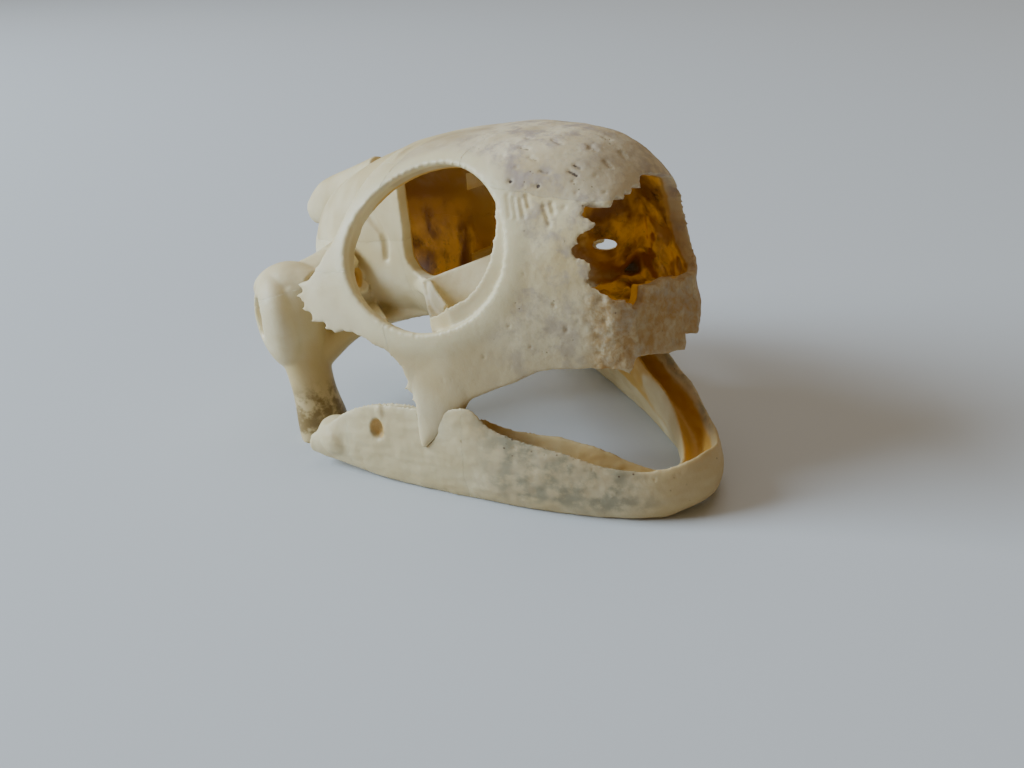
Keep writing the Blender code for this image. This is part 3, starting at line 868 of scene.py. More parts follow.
    def slit(self) -> bpy.types.Object:
        """Cutter for the see-through slit between the nose and the left socket."""
        start, end = self.slit_line
        return Bench.limb("slit", [(start, 0.95, 0.40), (end, 0.85, 0.34)], Vector((0.704, 0.689, -0.173)))

    def rear_parts(self) -> list[bpy.types.Object]:
        """Crest behind the skull and the knob that meets the neck.

        Returns:
            The crest and the knob.
        """
        crest = Bench.limb("crest", [
            ((-26.0, 0.0, 12.2), 1.4, 2.2), ((-30.0, 0.0, 11.0), 1.3, 2.5),
            ((-34.0, 0.0, 10.5), 1.0, 2.1),
            ((-36.8, 0.0, 9.9), 0.6, 1.0),
        ], Vector((0, 1, 0)))
        return [crest, Bench.blob("occipital_condyle", (-33.4, 0.0, 3.9), (1.9, 1.5, 1.3))]


@dataclass
class JawJoint:
    """Column of the right quadrate with its ear ring, the squamosal and the struts beside it."""

    ear_turn: Matrix = field(default_factory=lambda: Matrix.Rotation(math.radians(-30), 3, "Z"))
    across: Vector = field(default_factory=lambda: Vector((0, 1, 0)))
    along: Vector = field(default_factory=lambda: Vector((1, 0, 0)))

    def pieces(self) -> list[bpy.types.Object]:
        """Bodies that are joined to the braincase.

        Returns:
            The column, ear ring, squamosal and both struts of the right side.
        """
        column = Bench.limb("column", [
            ((-27.0, -10.1, -5.8), 2.1, 1.4), ((-27.0, -10.1, -4.2), 2.1, 1.55),
            ((-27.0, -10.2, -1.5), 1.75, 1.5),
            ((-27.1, -10.2, 1.5), 1.9, 1.7), ((-27.3, -10.2, 4.2), 2.4, 2.4),
            ((-27.3, -9.8, 6.4), 2.0, 2.4),
        ], self.across)
        ear = Bench.blob("ear", (-28.1, -10.8, 4.1), (3.15, 1.9, 3.9), self.ear_turn)
        squamosal = Bench.limb("squamosal", [
            ((-25.2, -9.2, 6.6), 1.2, 0.9), ((-27.4, -9.9, 7.1), 1.8, 1.2),
            ((-30.0, -9.9, 6.5), 1.4, 1.1),
            ((-32.4, -9.2, 5.2), 0.7, 0.7),
        ], self.across)
        otic = Bench.limb("otic", [
            ((-26.8, -4.6, 6.2), 2.7, 2.7), ((-27.2, -6.6, 5.8), 2.7, 2.4),
            ((-27.6, -9.2, 5.2), 2.6, 2.6),
        ], self.along)
        wing = Bench.limb("pterygoid_wing", [
            ((-24.6, -4.2, 3.0), 2.6, 0.7), ((-26.0, -6.8, 2.2), 1.9, 0.9),
            ((-26.9, -9.6, 0.6), 1.2, 1.2),
        ], self.along)
        return [column, ear, squamosal, otic, wing]

    def hollows(self) -> list[bpy.types.Object]:
        """Cutters for the ear's cup and the groove of the joint.

        Returns:
            The cutters of the right side.
        """
        cup = Bench.blob("ear_cup", (-28.4, -12.9, 4.8), (1.0, 1.3, 1.8))
        crease = Bench.limb("ear_crease", [
            ((-26.2, -12.2, 5.6), 0.4, 0.35), ((-26.1, -12.2, 4.0), 0.45, 0.35),
            ((-26.3, -12.0, 2.0), 0.35, 0.35),
        ], self.across)
        groove = Bench.blob("condyle_groove", (-27.0, -9.9, -6.2), (2.4, 0.8, 1.3))
        return [cup, crease, groove]

    def strut(self) -> bpy.types.Object:
        """Narrow lower rear end of the cheek, which hangs outside the lower jaw.

        Returns:
            The strut of the right side.
        """
        return Bench.limb("cheek_strut", [
            ((-11.0, -9.95, 2.2), 0.40, 1.6), ((-11.3, -10.2, 0.6), 0.42, 2.15),
            ((-11.65, -10.5, -0.7), 0.44, 1.95),
            ((-12.25, -10.95, -2.0), 0.42, 1.28), ((-12.7, -11.3, -3.0), 0.36, 0.72),
            ((-12.95, -11.5, -3.65), 0.26, 0.3),
            ((-13.05, -11.55, -3.9), 0.14, 0.12),
        ], Vector((0.44, -0.898, 0.0)))


@dataclass
class LowerJaw:
    """Bow of the lower jaw on the level surface."""

    length: float = 25.5
    half_spread: float = 14.0
    power: float = 1.92
    tip: tuple[float, float] = (1.9, -1.1)
    # Share from tip to end, upper edge, lift of the lower edge, width factor, share of the inner ridge
    heights: Rows = (
        (0.0, 4.4, 0.4, 1.05, 0.5), (0.1, 4.15, 0.3, 1.0, 0.56), (0.2, 3.75, -0.05, 0.98, 0.68),
        (0.3, 3.7, -0.15, 0.97, 0.84), (0.4, 4.0, -0.15, 0.96, 1.0), (0.5, 4.75, -0.15, 0.95, 0.98),
        (0.6, 5.3, -0.15, 0.9, 0.92), (0.65, 5.95, -0.15, 0.86, 0.86), (0.685, 7.0, -0.15, 0.84, 0.78),
        (0.75, 6.5, -0.1, 0.8, 0.8), (0.82, 6.3, 0.0, 0.74, 0.9), (0.88, 6.0, 0.1, 0.72, 0.9),
        (0.93, 4.9, 0.3, 0.75, 0.9), (0.97, 3.4, 0.6, 0.78, 0.9), (1.0, 2.4, 0.9, 0.8, 0.9),
    )
    # Around the section: inward, share of the height
    profile: Outline = (
        (0.12, 1.0), (0.55, 0.82), (1.15, 0.58), (1.80, 0.70), (2.42, 1.0), (2.62, 0.60), (1.85, 0.12),
        (0.95, 0.0), (0.05, 0.12), (-0.32, 0.55),
    )
    # Share of the bow where the vessel hole and the spine behind it lie
    pit_share: float = 0.868
    joints: tuple[float, float] = (0.70, 0.925)
    voxel: float = 0.12
    smoothing: int = 7

    def at(self, t: float) -> tuple[float, float]:
        """Outer edge in plan; t runs from -1, right, to 1, left."""
        return self.tip[0] - self.length * abs(t) ** self.power, self.tip[1] + self.half_spread * t

    def place(self, t: float) -> Vector:
        """Outer edge as a point on the level surface."""
        return Vector((*self.at(t), 0.0))

    def inward(self, t: float) -> Vector:
        """Level direction from the outer edge into the bow."""
        ahead = self.place(min(t + 0.01, 1.0)) - self.place(max(t - 0.01, -1.0))
        return Vector((0, 0, 1)).cross(ahead.normalized())

    def section(self, t: float, turn: float) -> tuple[float, float]:
        """Offset of the surface from the base line.

        Args:
            t: Place along the bow.
            turn: Turn around the section.

        Returns:
            How far inward of the bow, and how far up.
        """
        count = len(self.profile)
        where = (turn / (2 * math.pi) % 1.0) * count
        index = int(where)
        share = where - index
        knots = [self.profile[(index + step) % count] for step in (-1, 0, 1, 2)]
        point = []
        for axis in (0, 1):
            a, b, c, d = [knot[axis] for knot in knots]
            bend = (2 * a - 5 * b + 4 * c - d) * share**2 + (3 * b - a - 3 * c + d) * share**3
            point.append(0.5 * (2 * b + (c - a) * share + bend))
        height = smooth_value(self.heights, 1, abs(t))
        lift = smooth_value(self.heights, 2, abs(t))
        width = smooth_value(self.heights, 3, abs(t))
        inner = min(max((point[0] - 0.9) / 1.1, 0.0), 1.0)
        ridge = 1.0 + (smooth_value(self.heights, 4, abs(t)) - 1.0) * inner
        return point[0] * width, lift + point[1] * ridge * (height - lift)

    def whole(self) -> bpy.types.Object:
        """The jaw in one body.

        Returns:
            The jaw.
        """

        def spine(step: float) -> Vector:
            """Middle of the section at a share of the bow."""
            t = round(2 * step - 1, 6)
            return self.place(t) + self.inward(t) * 1.2 + Vector((0, 0, 1.6))

        def wall(step: float, turn: float) -> Vector:
            """Offset of the surface at a share of the bow and a turn.

            Args:
                step: Share of the bow.
                turn: Turn around the section.

            Returns:
                The offset from the middle.
            """
            t = round(2 * step - 1, 6)
            inward, up = self.section(t, turn)
            return self.place(t) + self.inward(t) * inward + Vector((0, 0, up)) - spine(step)

        jaw = Bench.tube("jaw", spine, wall, along=260, around=90)
        ends, hollows = [], []
        for side in Side:
            rear = self.place(side.value * 0.97) + Vector((0.2, -side.value * 1.1, 2.3))
            ends.append(Bench.blob("articular", tuple(rear), (1.9, 1.5, 1.5)))
            here = self.place(side.value * self.pit_share)
            spine_tip = here + Vector((0.3, -side.value * 0.2, 5.6))
            ends.append(Bench.blob("jaw_spine", tuple(spine_tip), (0.42, 0.26, 0.62)))
            pit = here + Vector((0.2, side.value * 0.3, 4.3))
            hollows.append(Bench.blob("jaw_pit", tuple(pit), (0.55, 0.75, 0.85)))
        Bench.combine(jaw, ends, "UNION")
        Bench.combine(jaw, hollows, "DIFFERENCE")
        return Bench.grow_together(jaw, self.voxel, self.smoothing)

    def cuts(self) -> list[bpy.types.Object]:
        """Hairline cuts across each side, square to the bow.

        Returns:
            The cutters.
        """
        made = []
        for side in Side:
            for share in self.joints:
                here = self.place(side.value * share)
                along = self.place(side.value * (share + 0.01)) - self.place(side.value * (share - 0.01))
                angle = math.degrees(math.atan2(along.y, along.x))
                middle = tuple(here + Vector((0, 0, 3.5)))
                made.append(Suture("jaw_cut", middle, (0, 12, 12), angle, "Z").cutter())
        return made

    def seeds(self) -> dict[str, Vector]:
        """A point on each piece of the jaw.

        Returns:
            The points by the bones' names.
        """
        made = {"dentary": self.place(0.0) + Vector((-1.0, 0.0, 2.0))}
        for side in Side:
            inward = Vector((0.0, -side.value * 1.0, 2.5))
            made["surangular_" + side.word] = self.place(side.value * 0.82) + inward
            made["articular_" + side.word] = self.place(side.value * 0.98) + inward
        return made


@dataclass(frozen=True)
class Suture:
    """Hairline between two bones: a thin wavy cut in a plane."""

    name: str
    centre: Place
    size: Place
    angle: float = 0.0
    axis: str = "Y"
    gap: float = 0.008
    wave: float = 0.16
    grain: float = 1.3

    def cutter(self) -> bpy.types.Object:
        """Closed wavy slab; the size that is 0 is its thickness.

        Returns:
            The slab.
        """
        thin = self.size.index(min(self.size))
        wide = [i for i in range(3) if i != thin]
        bm = bmesh.new()
        spans = [self.size[i] for i in wide]
        bmesh.ops.create_grid(
            bm, x_segments=max(2, round(spans[0] / 0.35)), y_segments=max(2, round(spans[1] / 0.35)), size=0.5
        )
        bmesh.ops.recalc_face_normals(bm, faces=bm.faces)
        seed = Vector(self.centre) * 1.7
        for vert in bm.verts:
            flat = Vector((vert.co.x * spans[0], vert.co.y * spans[1], 0.0))
            lift = noise.noise(flat / self.grain + seed) * self.wave
            lift += noise.noise(flat / (self.grain * 0.35) + seed) * self.wave * 0.45
            point = [0.0, 0.0, 0.0]
            point[wide[0]], point[wide[1]], point[thin] = flat.x, flat.y, lift
            vert.co = Vector(point)
        made = bmesh.ops.extrude_face_region(bm, geom=bm.faces[:])
        shift = Vector([self.gap if i == thin else 0.0 for i in range(3)])
        moved = [item for item in made["geom"] if isinstance(item, bmesh.types.BMVert)]
        bmesh.ops.translate(bm, verts=moved, vec=shift)
        turn = Matrix.Rotation(math.radians(self.angle), 3, self.axis)
        bmesh.ops.rotate(bm, cent=Vector(), matrix=turn, verts=bm.verts)
        bmesh.ops.translate(bm, vec=Vector(self.centre), verts=bm.verts)
        bmesh.ops.recalc_face_normals(bm, faces=bm.faces)
        return Bench.link(self.name, bm)


@dataclass
class Seams:
    """Where the bones of the cranium meet, and a point on each bone."""

    side: tuple[Suture, ...] = (
        Suture("maxilla_prefrontal", (-4.6, -6.3, 12.0), (14.0, 12.2, 0.0), 13.6),
        Suture("postorbital_parietal", (-20.0, -6.2, 14.0), (8.0, 0.0, 8.0)),
        Suture("postorbital_jugal", (-19.6, -12.0, 8.4), (8.0, 6.0, 0.0)),
        Suture("jugal_maxilla", (-14.5, -11.2, 2.4), (0.0, 6.4, 6.6)),
        Suture("premaxilla_maxilla", (-2.1, -3.1, 2.2), (5.2, 0.0, 7.4)),
        Suture("maxilla_palate", (-9.5, -5.42, 6.3), (13.6, 0.0, 15.4), 23.0, "Z"),
        Suture("quadrate_braincase", (-29.0, -6.4, 3.0), (12.0, 0.0, 12.0)),
        Suture("quadrate_squamosal", (-29.0, -10.0, 6.0), (12.0, 7.5, 0.0), -8.0),
    )
    middle: tuple[Suture, ...] = (
        Suture("prefrontal_frontal", (-10.6, 0.0, 15.0), (0.0, 22.0, 7.0)),
        Suture("prefrontal_pair", (-4.8, 0.0, 14.4), (12.5, 0.0, 8.0)),
        Suture("frontal_parietal", (-16.2, 0.0, 14.5), (0.0, 24.0, 9.0)),
        Suture("premaxilla_palate", (-4.2, 0.0, 2.2), (0.0, 7.4, 7.4)),
        Suture("palate_braincase", (-20.5, 0.0, 4.2), (0.0, 15.0, 10.4)),
        Suture("parietal_braincase", (-26.5, 0.0, 8.6), (19.0, 14.0, 0.0)),
        Suture("parietal_supraoccipital", (-29.2, 0.0, 12.5), (0.0, 14.0, 8.0)),
    )
    middle_bones: tuple[tuple[str, Place], ...] = (
        ("premaxilla", (0.0, 0.0, 2.5)), ("frontal", (-13.5, 0.0, 16.0)),
        ("parietal", (-22.0, 0.0, 15.3)),
        ("supraoccipital", (-34.0, 0.0, 10.5)), ("braincase", (-27.0, 0.0, 2.5)),
        ("palate", (-16.0, 0.0, 3.0)),
    )
    side_bones: tuple[tuple[str, Place], ...] = (
        ("maxilla", (-5.0, -7.0, 4.0)), ("prefrontal", (-5.0, -3.0, 15.0)),
        ("postorbital", (-18.0, -9.7, 12.5)),
        ("jugal", (-18.5, -12.4, 6.5)), ("quadrate", (-27.1, -10.3, -1.0)),
        ("squamosal", (-30.0, -10.0, 7.0)),
    )

    def cutters(self) -> list[bpy.types.Object]:
        """All hairline cuts of the cranium."""
        return Bench.both([seam.cutter() for seam in self.side]) + [seam.cutter() for seam in self.middle]

    def seeds(self) -> dict[str, Vector]:
        """A point on each bone of the cranium.

        Returns:
            The points by the bones' names.
        """
        made = {name: Vector(place) for name, place in self.middle_bones}
        for side in Side:
            for name, (x, y, z) in self.side_bones:
                made[f"{name}_{side.word}"] = Vector((x, -y * side.value, z))
        return made


def part_bones(
    whole: bpy.types.Object, cutters: Sequence[bpy.types.Object], seeds: dict[str, Vector]
) -> dict[str, bpy.types.Object]:
    """Part a body along its hairlines into named bones.

    Args:
        whole: The body.
        cutters: The hairline cuts, used up.
        seeds: A point on each bone.

    Returns:
        The bones by name; loose crumbs are dropped.
    """
    lattice = Bench.combine(cutters[0], cutters[1:], "UNION")
    Bench.combine(whole, [lattice], "DIFFERENCE")
    for item in bpy.context.selected_objects:
        item.select_set(False)
    before = set(bpy.data.objects)
    whole.select_set(True)
    bpy.context.view_layer.objects.active = whole
    bpy.ops.mesh.separate(type="LOOSE")
    loose = [whole] + [item for item in bpy.data.objects if item not in before]
    points = {}
    for item in loose:
        co = np.empty(len(item.data.vertices) * 3, np.float32)
        item.data.vertices.foreach_get("co", co)
        points[item] = co.reshape(-1, 3)
    bones = {}
    waiting = [item for item in loose if len(points[item]) > LEAST_BONE]
    waiting.sort(key=lambda item: -len(points[item]))
    for name, seed in seeds.items():
        spot = np.array(seed)
        best = min(waiting, key=lambda item: float(np.min(np.sum((points[item] - spot) ** 2, axis=1))))
        waiting.remove(best)
        best.name = name
        bones[name] = best
    crumbs = [item for item in loose if item not in bones.values()]
    LOG.info("%s parted into %d bones, %d crumbs dropped", whole.name, len(bones), len(crumbs))
    Bench.drop(crumbs)
    return bones


class Skin:
    """Vertex positions and normals of one mesh, as arrays, with named maps over them."""

    def __init__(self, item: bpy.types.Object) -> None:
        """Read a mesh.

        Args:
            item: The object.
        """
        self.item = item
        mesh = item.data
        count = len(mesh.vertices)
        points = np.empty(count * 3, np.float32)
        mesh.vertices.foreach_get("co", points)
        self.points = points.reshape(-1, 3).astype(float)
        normals = np.empty(count * 3, np.float32)
        mesh.vertices.foreach_get("normal", normals)
        self.normals = normals.reshape(-1, 3).astype(float)

    def on_right(self) -> np.ndarray:
        """The vertices with those of the left side mirrored onto the right.

        Returns:
            The positions, one row a vertex.
        """
        points = self.points.copy()
        points[:, 1] = -np.abs(points[:, 1])
        return points

    def grain(self, size: float, seed: float = 0.0, octaves: int = 0) -> np.ndarray:
        """Smooth noise over the mesh.

        Args:
            size: Width of its lumps, in millimetres.
            seed: Shift that gives another pattern.
            octaves: Finer layers put on top.

        Returns:
            One number a vertex, about -1 to 1.
        """
        shift = Vector((seed, seed * 0.7, -seed))
        if octaves:
            draw = [noise.fractal(Vector(p) / size + shift, 0.9, 2.1, octaves) for p in self.points]
        else:
            draw = [noise.noise(Vector(p) / size + shift) for p in self.points]
        return np.array(draw)

    def reach(self, tree: BVHTree, limit: float = 3.0) -> np.ndarray:
        """Distance of each vertex to a surface, up to a limit."""
        found = [tree.find_nearest(p, limit)[3] for p in self.points.tolist()]
        return np.array([limit if value is None else value for value in found])

    def near(self, spots: np.ndarray, limit: float = 5.0) -> np.ndarray:
        """Distance of each vertex to the nearest of some points, up to a limit.

        Args:
            spots: The points, one a row.
            limit: Longest distance.

        Returns:
            One distance a vertex.
        """
        best = np.full(len(self.points), limit * limit)
        low, high = spots.min(0) - limit, spots.max(0) + limit
        inside = np.all((self.points > low) & (self.points < high), axis=1)
        chosen = self.points[inside]
        nearest = np.full(len(chosen), limit * limit)
        for spot in spots:
            nearest = np.minimum(nearest, np.sum((chosen - spot) ** 2, axis=1))
        best[inside] = nearest
        return np.sqrt(best)

    def push(self, amount: np.ndarray) -> None:
        """Move each vertex outwards along its normal, in the mesh's own units.

        Args:
            amount: One distance a vertex.
        """
        moved = self.points + self.normals * amount[:, None]
        self.item.data.vertices.foreach_set("co", moved.astype(np.float32).ravel())
        self.item.data.update()

    def keep(self, name: str, values: np.ndarray) -> None:
        """Store a map as a vertex attribute for the finish.

        Args:
            name: Name of the map.
            values: One number a vertex, held between 0 and 1.
        """
        attributes = self.item.data.attributes
        if name in attributes:
            attributes.remove(attributes[name])
        layer = attributes.new(name, "FLOAT", "POINT")
        layer.data.foreach_set("value", np.clip(values, 0.0, 1.0).astype(np.float32))


@dataclass
class CraniumMaps:
    """Where the cranium is porous, spongy, stained, pitted or smooth, and where shade is painted on it."""

    head: HeadShell
    interior: Interior
    # Long pits of the old seam above the right cheek: their two ends
    finger_marks: tuple[tuple[Place, Place], ...] = (
        ((-6.3, -6.05, 12.1), (-5.95, -6.5, 10.9)), ((-5.86, -6.15, 11.95), (-5.5, -6.5, 10.8)),
        ((-5.4, -6.0, 11.8), (-5.05, -6.3, 10.85)), ((-5.05, -5.8, 12.05), (-4.8, -6.0, 11.4)),
        ((-3.94, -5.54, 11.3), (-3.5, -5.75, 10.2)), ((-3.5, -5.3, 11.4), (-3.3, -5.45, 10.9)),
    )
    # Single holes for vessels: centre and radius
    vessels: tuple[tuple[Place, float], ...] = (
        ((-6.3, -5.75, 13.0), 0.17), ((-4.5, -5.2, 12.5), 0.14), ((-2.4, -4.2, 12.6), 0.11),
        ((-3.2, -2.4, 14.2), 0.1),
        ((-5.2, -6.9, 7.3), 0.09), ((-3.6, -6.4, 5.2), 0.12), ((-6.4, -7.9, 4.1), 0.1),
        ((-3.1, -6.2, 3.5), 0.12),
        ((-8.1, -9.1, 2.2), 0.1), ((-5.3, -7.4, 2.6), 0.1),
    )
    # Short dark nicks in the roof: their two ends
    nicks: tuple[tuple[Place, Place], ...] = (
        ((-5.3, -2.25, 15.2), (-4.5, -2.45, 14.9)), ((-3.2, -1.38, 14.6), (-2.4, -1.57, 14.0)),
        ((-3.0, -1.2, 14.4), (-2.75, -1.8, 14.2)), ((-5.8, -4.23, 14.4), (-5.2, -4.27, 14.1)),
        ((-2.8, -3.4, 13.4), (-2.4, -3.4, 13.2)), ((-2.9, -3.85, 13.1), (-2.4, -3.8, 12.8)),
        ((-1.6, -1.8, 13.3), (-1.2, -1.8, 12.9)), ((-1.65, -0.1, 13.5), (-1.3, -0.15, 13.2)),
        ((-4.6, -4.65, 13.4), (-4.1, -4.5, 13.2)), ((-3.2, 0.2, 14.6), (-2.8, 0.3, 14.4)),
        ((-6.8, -3.8, 15.0), (-6.2, -3.8, 14.9)), ((-7.4, -2.6, 15.4), (-6.8, -2.7, 15.3)),
    )

    def __post_init__(self) -> None:
        """Prepare the surfaces and curves that the maps measure from."""
        self.outer = self.head.outer_tree()
        rim = [tuple(p) for p in self.head.rim_points(self.outer)]
        self.rim = np.array(rim + [(x, -y, z) for x, y, z in rim])

    def bowl(self, skin: Skin) -> np.ndarray:
        """1 on the smooth upper face of an orbit floor.

        Args:
            skin: The mesh.

        Returns:
            One number a vertex.
        """
        centre = np.array(self.interior.bowl_centre + self.interior.bowl_shift)
        off = np.linalg.norm((skin.on_right() - centre) / np.array(self.interior.bowl_hollow), axis=1)
        return 1 - ease(np.abs(off - 1), 0.035, 0.08)

    def measure(self, skin: Skin) -> dict[str, np.ndarray]:
        """All maps of a mesh in the skull frame.

        Args:
            skin: The mesh.

        Returns:
            One array a map, from 0 to 1.
        """
        x, y, z = skin.points.T
        depth = skin.reach(self.outer, 4.0)
        hollow = 1 - ease(skin.reach(self.interior.hollow, 1.5), 0.08, 0.32)
        lining = 1 - ease(skin.reach(self.head.inner, 1.5), 0.12, 0.5)
        rim = 1 - ease(skin.near(self.rim), 0.5, 1.9)
        front = ease(x, -9.5, -7.0)
        bowl = self.bowl(skin)
        outside = 1 - ease(depth, 0.25, 0.7)
        # How deep a point lies inside the outer skin; the stain built on it turns from amber staining into
        # painted shade the deeper it lies.
        inside = ease(depth, 0.5, 0.95) * (1 - bowl)
        nasal = front * inside
        brain = hollow * ease(x, -32.5, -30.5)
        # Painted shade on the inner lining under the skull roof.
        under_roof_shade = 0.5 * lining * (1 - front) * inside * ease(z, 9.0, 11.5) * ease(x, -18.0, -17.0)
        # The braincase stain is painted shade as well: heavier low down, lighter towards the top, the left
        # wall and the open front.
        brain = brain * (0.74 + 0.22 * (1 - ease(z, 6.5, 9.0)))
        brain = brain * (1 - 0.5 * ease(z + 0.3 * np.maximum(y, 0.0), 10.6, 12.6))
        brain = brain * (1 - 0.3 * ease(x, -21.5, -19.5))
        # Painted shade inside the walls of the side foramen.
        middle, sizes = np.array(self.interior.foramen[0]), np.array(self.interior.foramen[1])
        hole_shade = 1 - ease(np.linalg.norm((skin.on_right() - middle) / sizes, axis=1), 1.05, 1.3)
        # Amber staining of the insides together with painted shade in the cavities and the foramen.
        stain = np.maximum.reduce([nasal, brain, under_roof_shade, hole_shade * (1 - outside)])
        beak = ease(x, -3.4, -1.9) * (1 - ease(z, 5.2, 6.6)) * (1 - ease(np.abs(y), 4.9, 5.9))
        snout = outside * ease(x, -15.5, -9.0) * ease(z, 10.8, 12.4)
        cheek = outside * ease(x, -9.0, -5.5) * ease(z, -1.0, 2.0)
        pore = np.maximum(snout, cheek * 0.8) * (1 - rim * 0.85)
        quadrate = 1 - ease(x, -24.5, -23.5)
        low = 1 - ease(z, -2.2, -0.4)
        column = quadrate * (1 - 0.8 * ease(z, -0.5, 3.0)) * (1 - ease(z, 5.5, 7.5))
        return {
            "stain": stain,
            "pore": pore,
            "rim": rim * outside,
            "sponge": beak * outside,
            "olive": quadrate * low,
            "amber": np.maximum(column, 0.5 * brain),
            "mark": self.marks(skin) * outside,
            # Painted shade where the surface faces away from the light: the lower maxilla, the front of the
            # roof, the lowest edge with the strut and the lower cheek.
            "tan": outside * np.maximum.reduce([
                ease(x, -13.0, -7.5) * (1 - ease(z, 2.5, 8.5)) * 0.7,
                ease(x, -6.0, -1.5) * ease(z, 11.0, 13.0) * 0.95,
                0.6 * (1 - ease(z, -1.5, 0.5)) * ease(x, -16.0, -14.5),
                0.3 * (1 - ease(z, 4.5, 7.0)) * ease(x, -24.0, -22.0) * (1 - ease(x, -13.0, -9.0)),
            ]),
            "nasal": nasal,
            "outside": outside,
            "bowl": bowl,
        }

    def marks(self, skin: Skin) -> np.ndarray:
        """1 on the lines of the nicks and holes, falling to 0 half a millimetre away.

        Args:
            skin: The mesh.

        Returns:
            One number a vertex.
        """
        lines = [(a, b, 0.0) for a, b in self.nicks]
        lines += [(place, place, -0.3 * radius) for place, radius in self.vessels[:2]]
        best = np.full(len(skin.points), 0.5)
        for start, end, lead in lines:
            best = np.minimum(best, self.line_gap(skin, start, end) + lead)
        return 1 - best / 0.5

    def line_gap(self, skin: Skin, start: Place, end: Place) -> np.ndarray:
        """Distance of each vertex to a short line laid on the outer skin.

        Args:
            skin: The mesh.
            start: First end of the line.
            end: Its other end.

        Returns:
            One distance a vertex.
        """
        laid = [np.array(self.outer.find_nearest(Vector(place))[0]) for place in (start, end)]
        return self.gap_to(skin, *laid)

    @staticmethod
    def gap_to(skin: Skin, a: np.ndarray, b: np.ndarray) -> np.ndarray:
        """Distance of each vertex to the straight line between two points.

        Args:
            skin: The mesh.
            a: First end of the line.
            b: Its other end.

        Returns:
            One distance a vertex.
        """
        run = b - a
        share = np.clip((skin.points - a) @ run / max(float(run @ run), 1e-6), 0.0, 1.0)
        return np.linalg.norm(skin.points - a - share[:, None] * run, axis=1)

    def relief(self, skin: Skin, maps: dict[str, np.ndarray]) -> np.ndarray:
        """How far each vertex stands out or lies deep, in millimetres.

        Args:
            skin: The mesh.
            maps: Its maps.

        Returns:
            One number a vertex.
        """
        fine = skin.grain(0.42, 3.0, 2)
        coarse = skin.grain(1.6, 8.0, 2)
        broad = skin.grain(4.2, 5.0)
        worn = 0.35 + 0.65 * maps["pore"]
        up = 0.10 * broad * (1 - 0.6 * maps["rim"]) * (1 - maps["bowl"])
        up += 0.04 * coarse * worn + 0.02 * fine * worn
        holes = 0.20 * np.maximum(skin.grain(0.5, 13.0, 1), 0.0)
        sponge = 0.10 * coarse - holes - 0.10 * np.abs(skin.grain(1.1, 17.0))
        up += maps["sponge"] * sponge
        lumps = skin.grain(1.2, 21.0, 2)
        low = 1 - ease(skin.points[:, 2], 7.4, 9.2)
        away = ease(self.gap_to(skin, *[np.array(end) for end in self.interior.slit_line]), 0.9, 1.6)
        up += maps["nasal"] * away * (0.06 * lumps + low * (0.42 * np.maximum(lumps, -0.2) - 0.12))
        up += 0.10 * maps["rim"] * maps["outside"]
        up -= self.pits(skin) * (1 - 0.5 * maps["rim"])
        return up

    def pits(self, skin: Skin) -> np.ndarray:
        """Depth of the long pits, the vessel holes and the scattered small pits.

        Args:
            skin: The mesh.

        Returns:
            One depth a vertex, in millimetres.
        """
        depth = np.zeros(len(skin.points))
        for start, end in self.finger_marks:
            depth += 0.13 * (1 - ease(self.line_gap(skin, start, end), 0.0, 0.26))
        for start, end in self.nicks:
            depth += 0.10 * (1 - ease(self.line_gap(skin, start, end), 0.04, 0.2))
        for place, radius in self.vessels:
            depth += 0.8 * radius * (1 - ease(self.line_gap(skin, place, place), radius * 0.4, radius * 1.6))
        draw = random.Random(29)
        for _ in range(90):
            place = self.head.section(draw.uniform(-13.0, -0.8), draw.uniform(-1.75, 1.75))
            radius = draw.uniform(0.09, 0.14)
            gap = np.linalg.norm(skin.points - np.array(place), axis=1)
            depth += radius * 0.5 * (1 - ease(gap, radius * 0.4, radius * 1.6))
        return depth


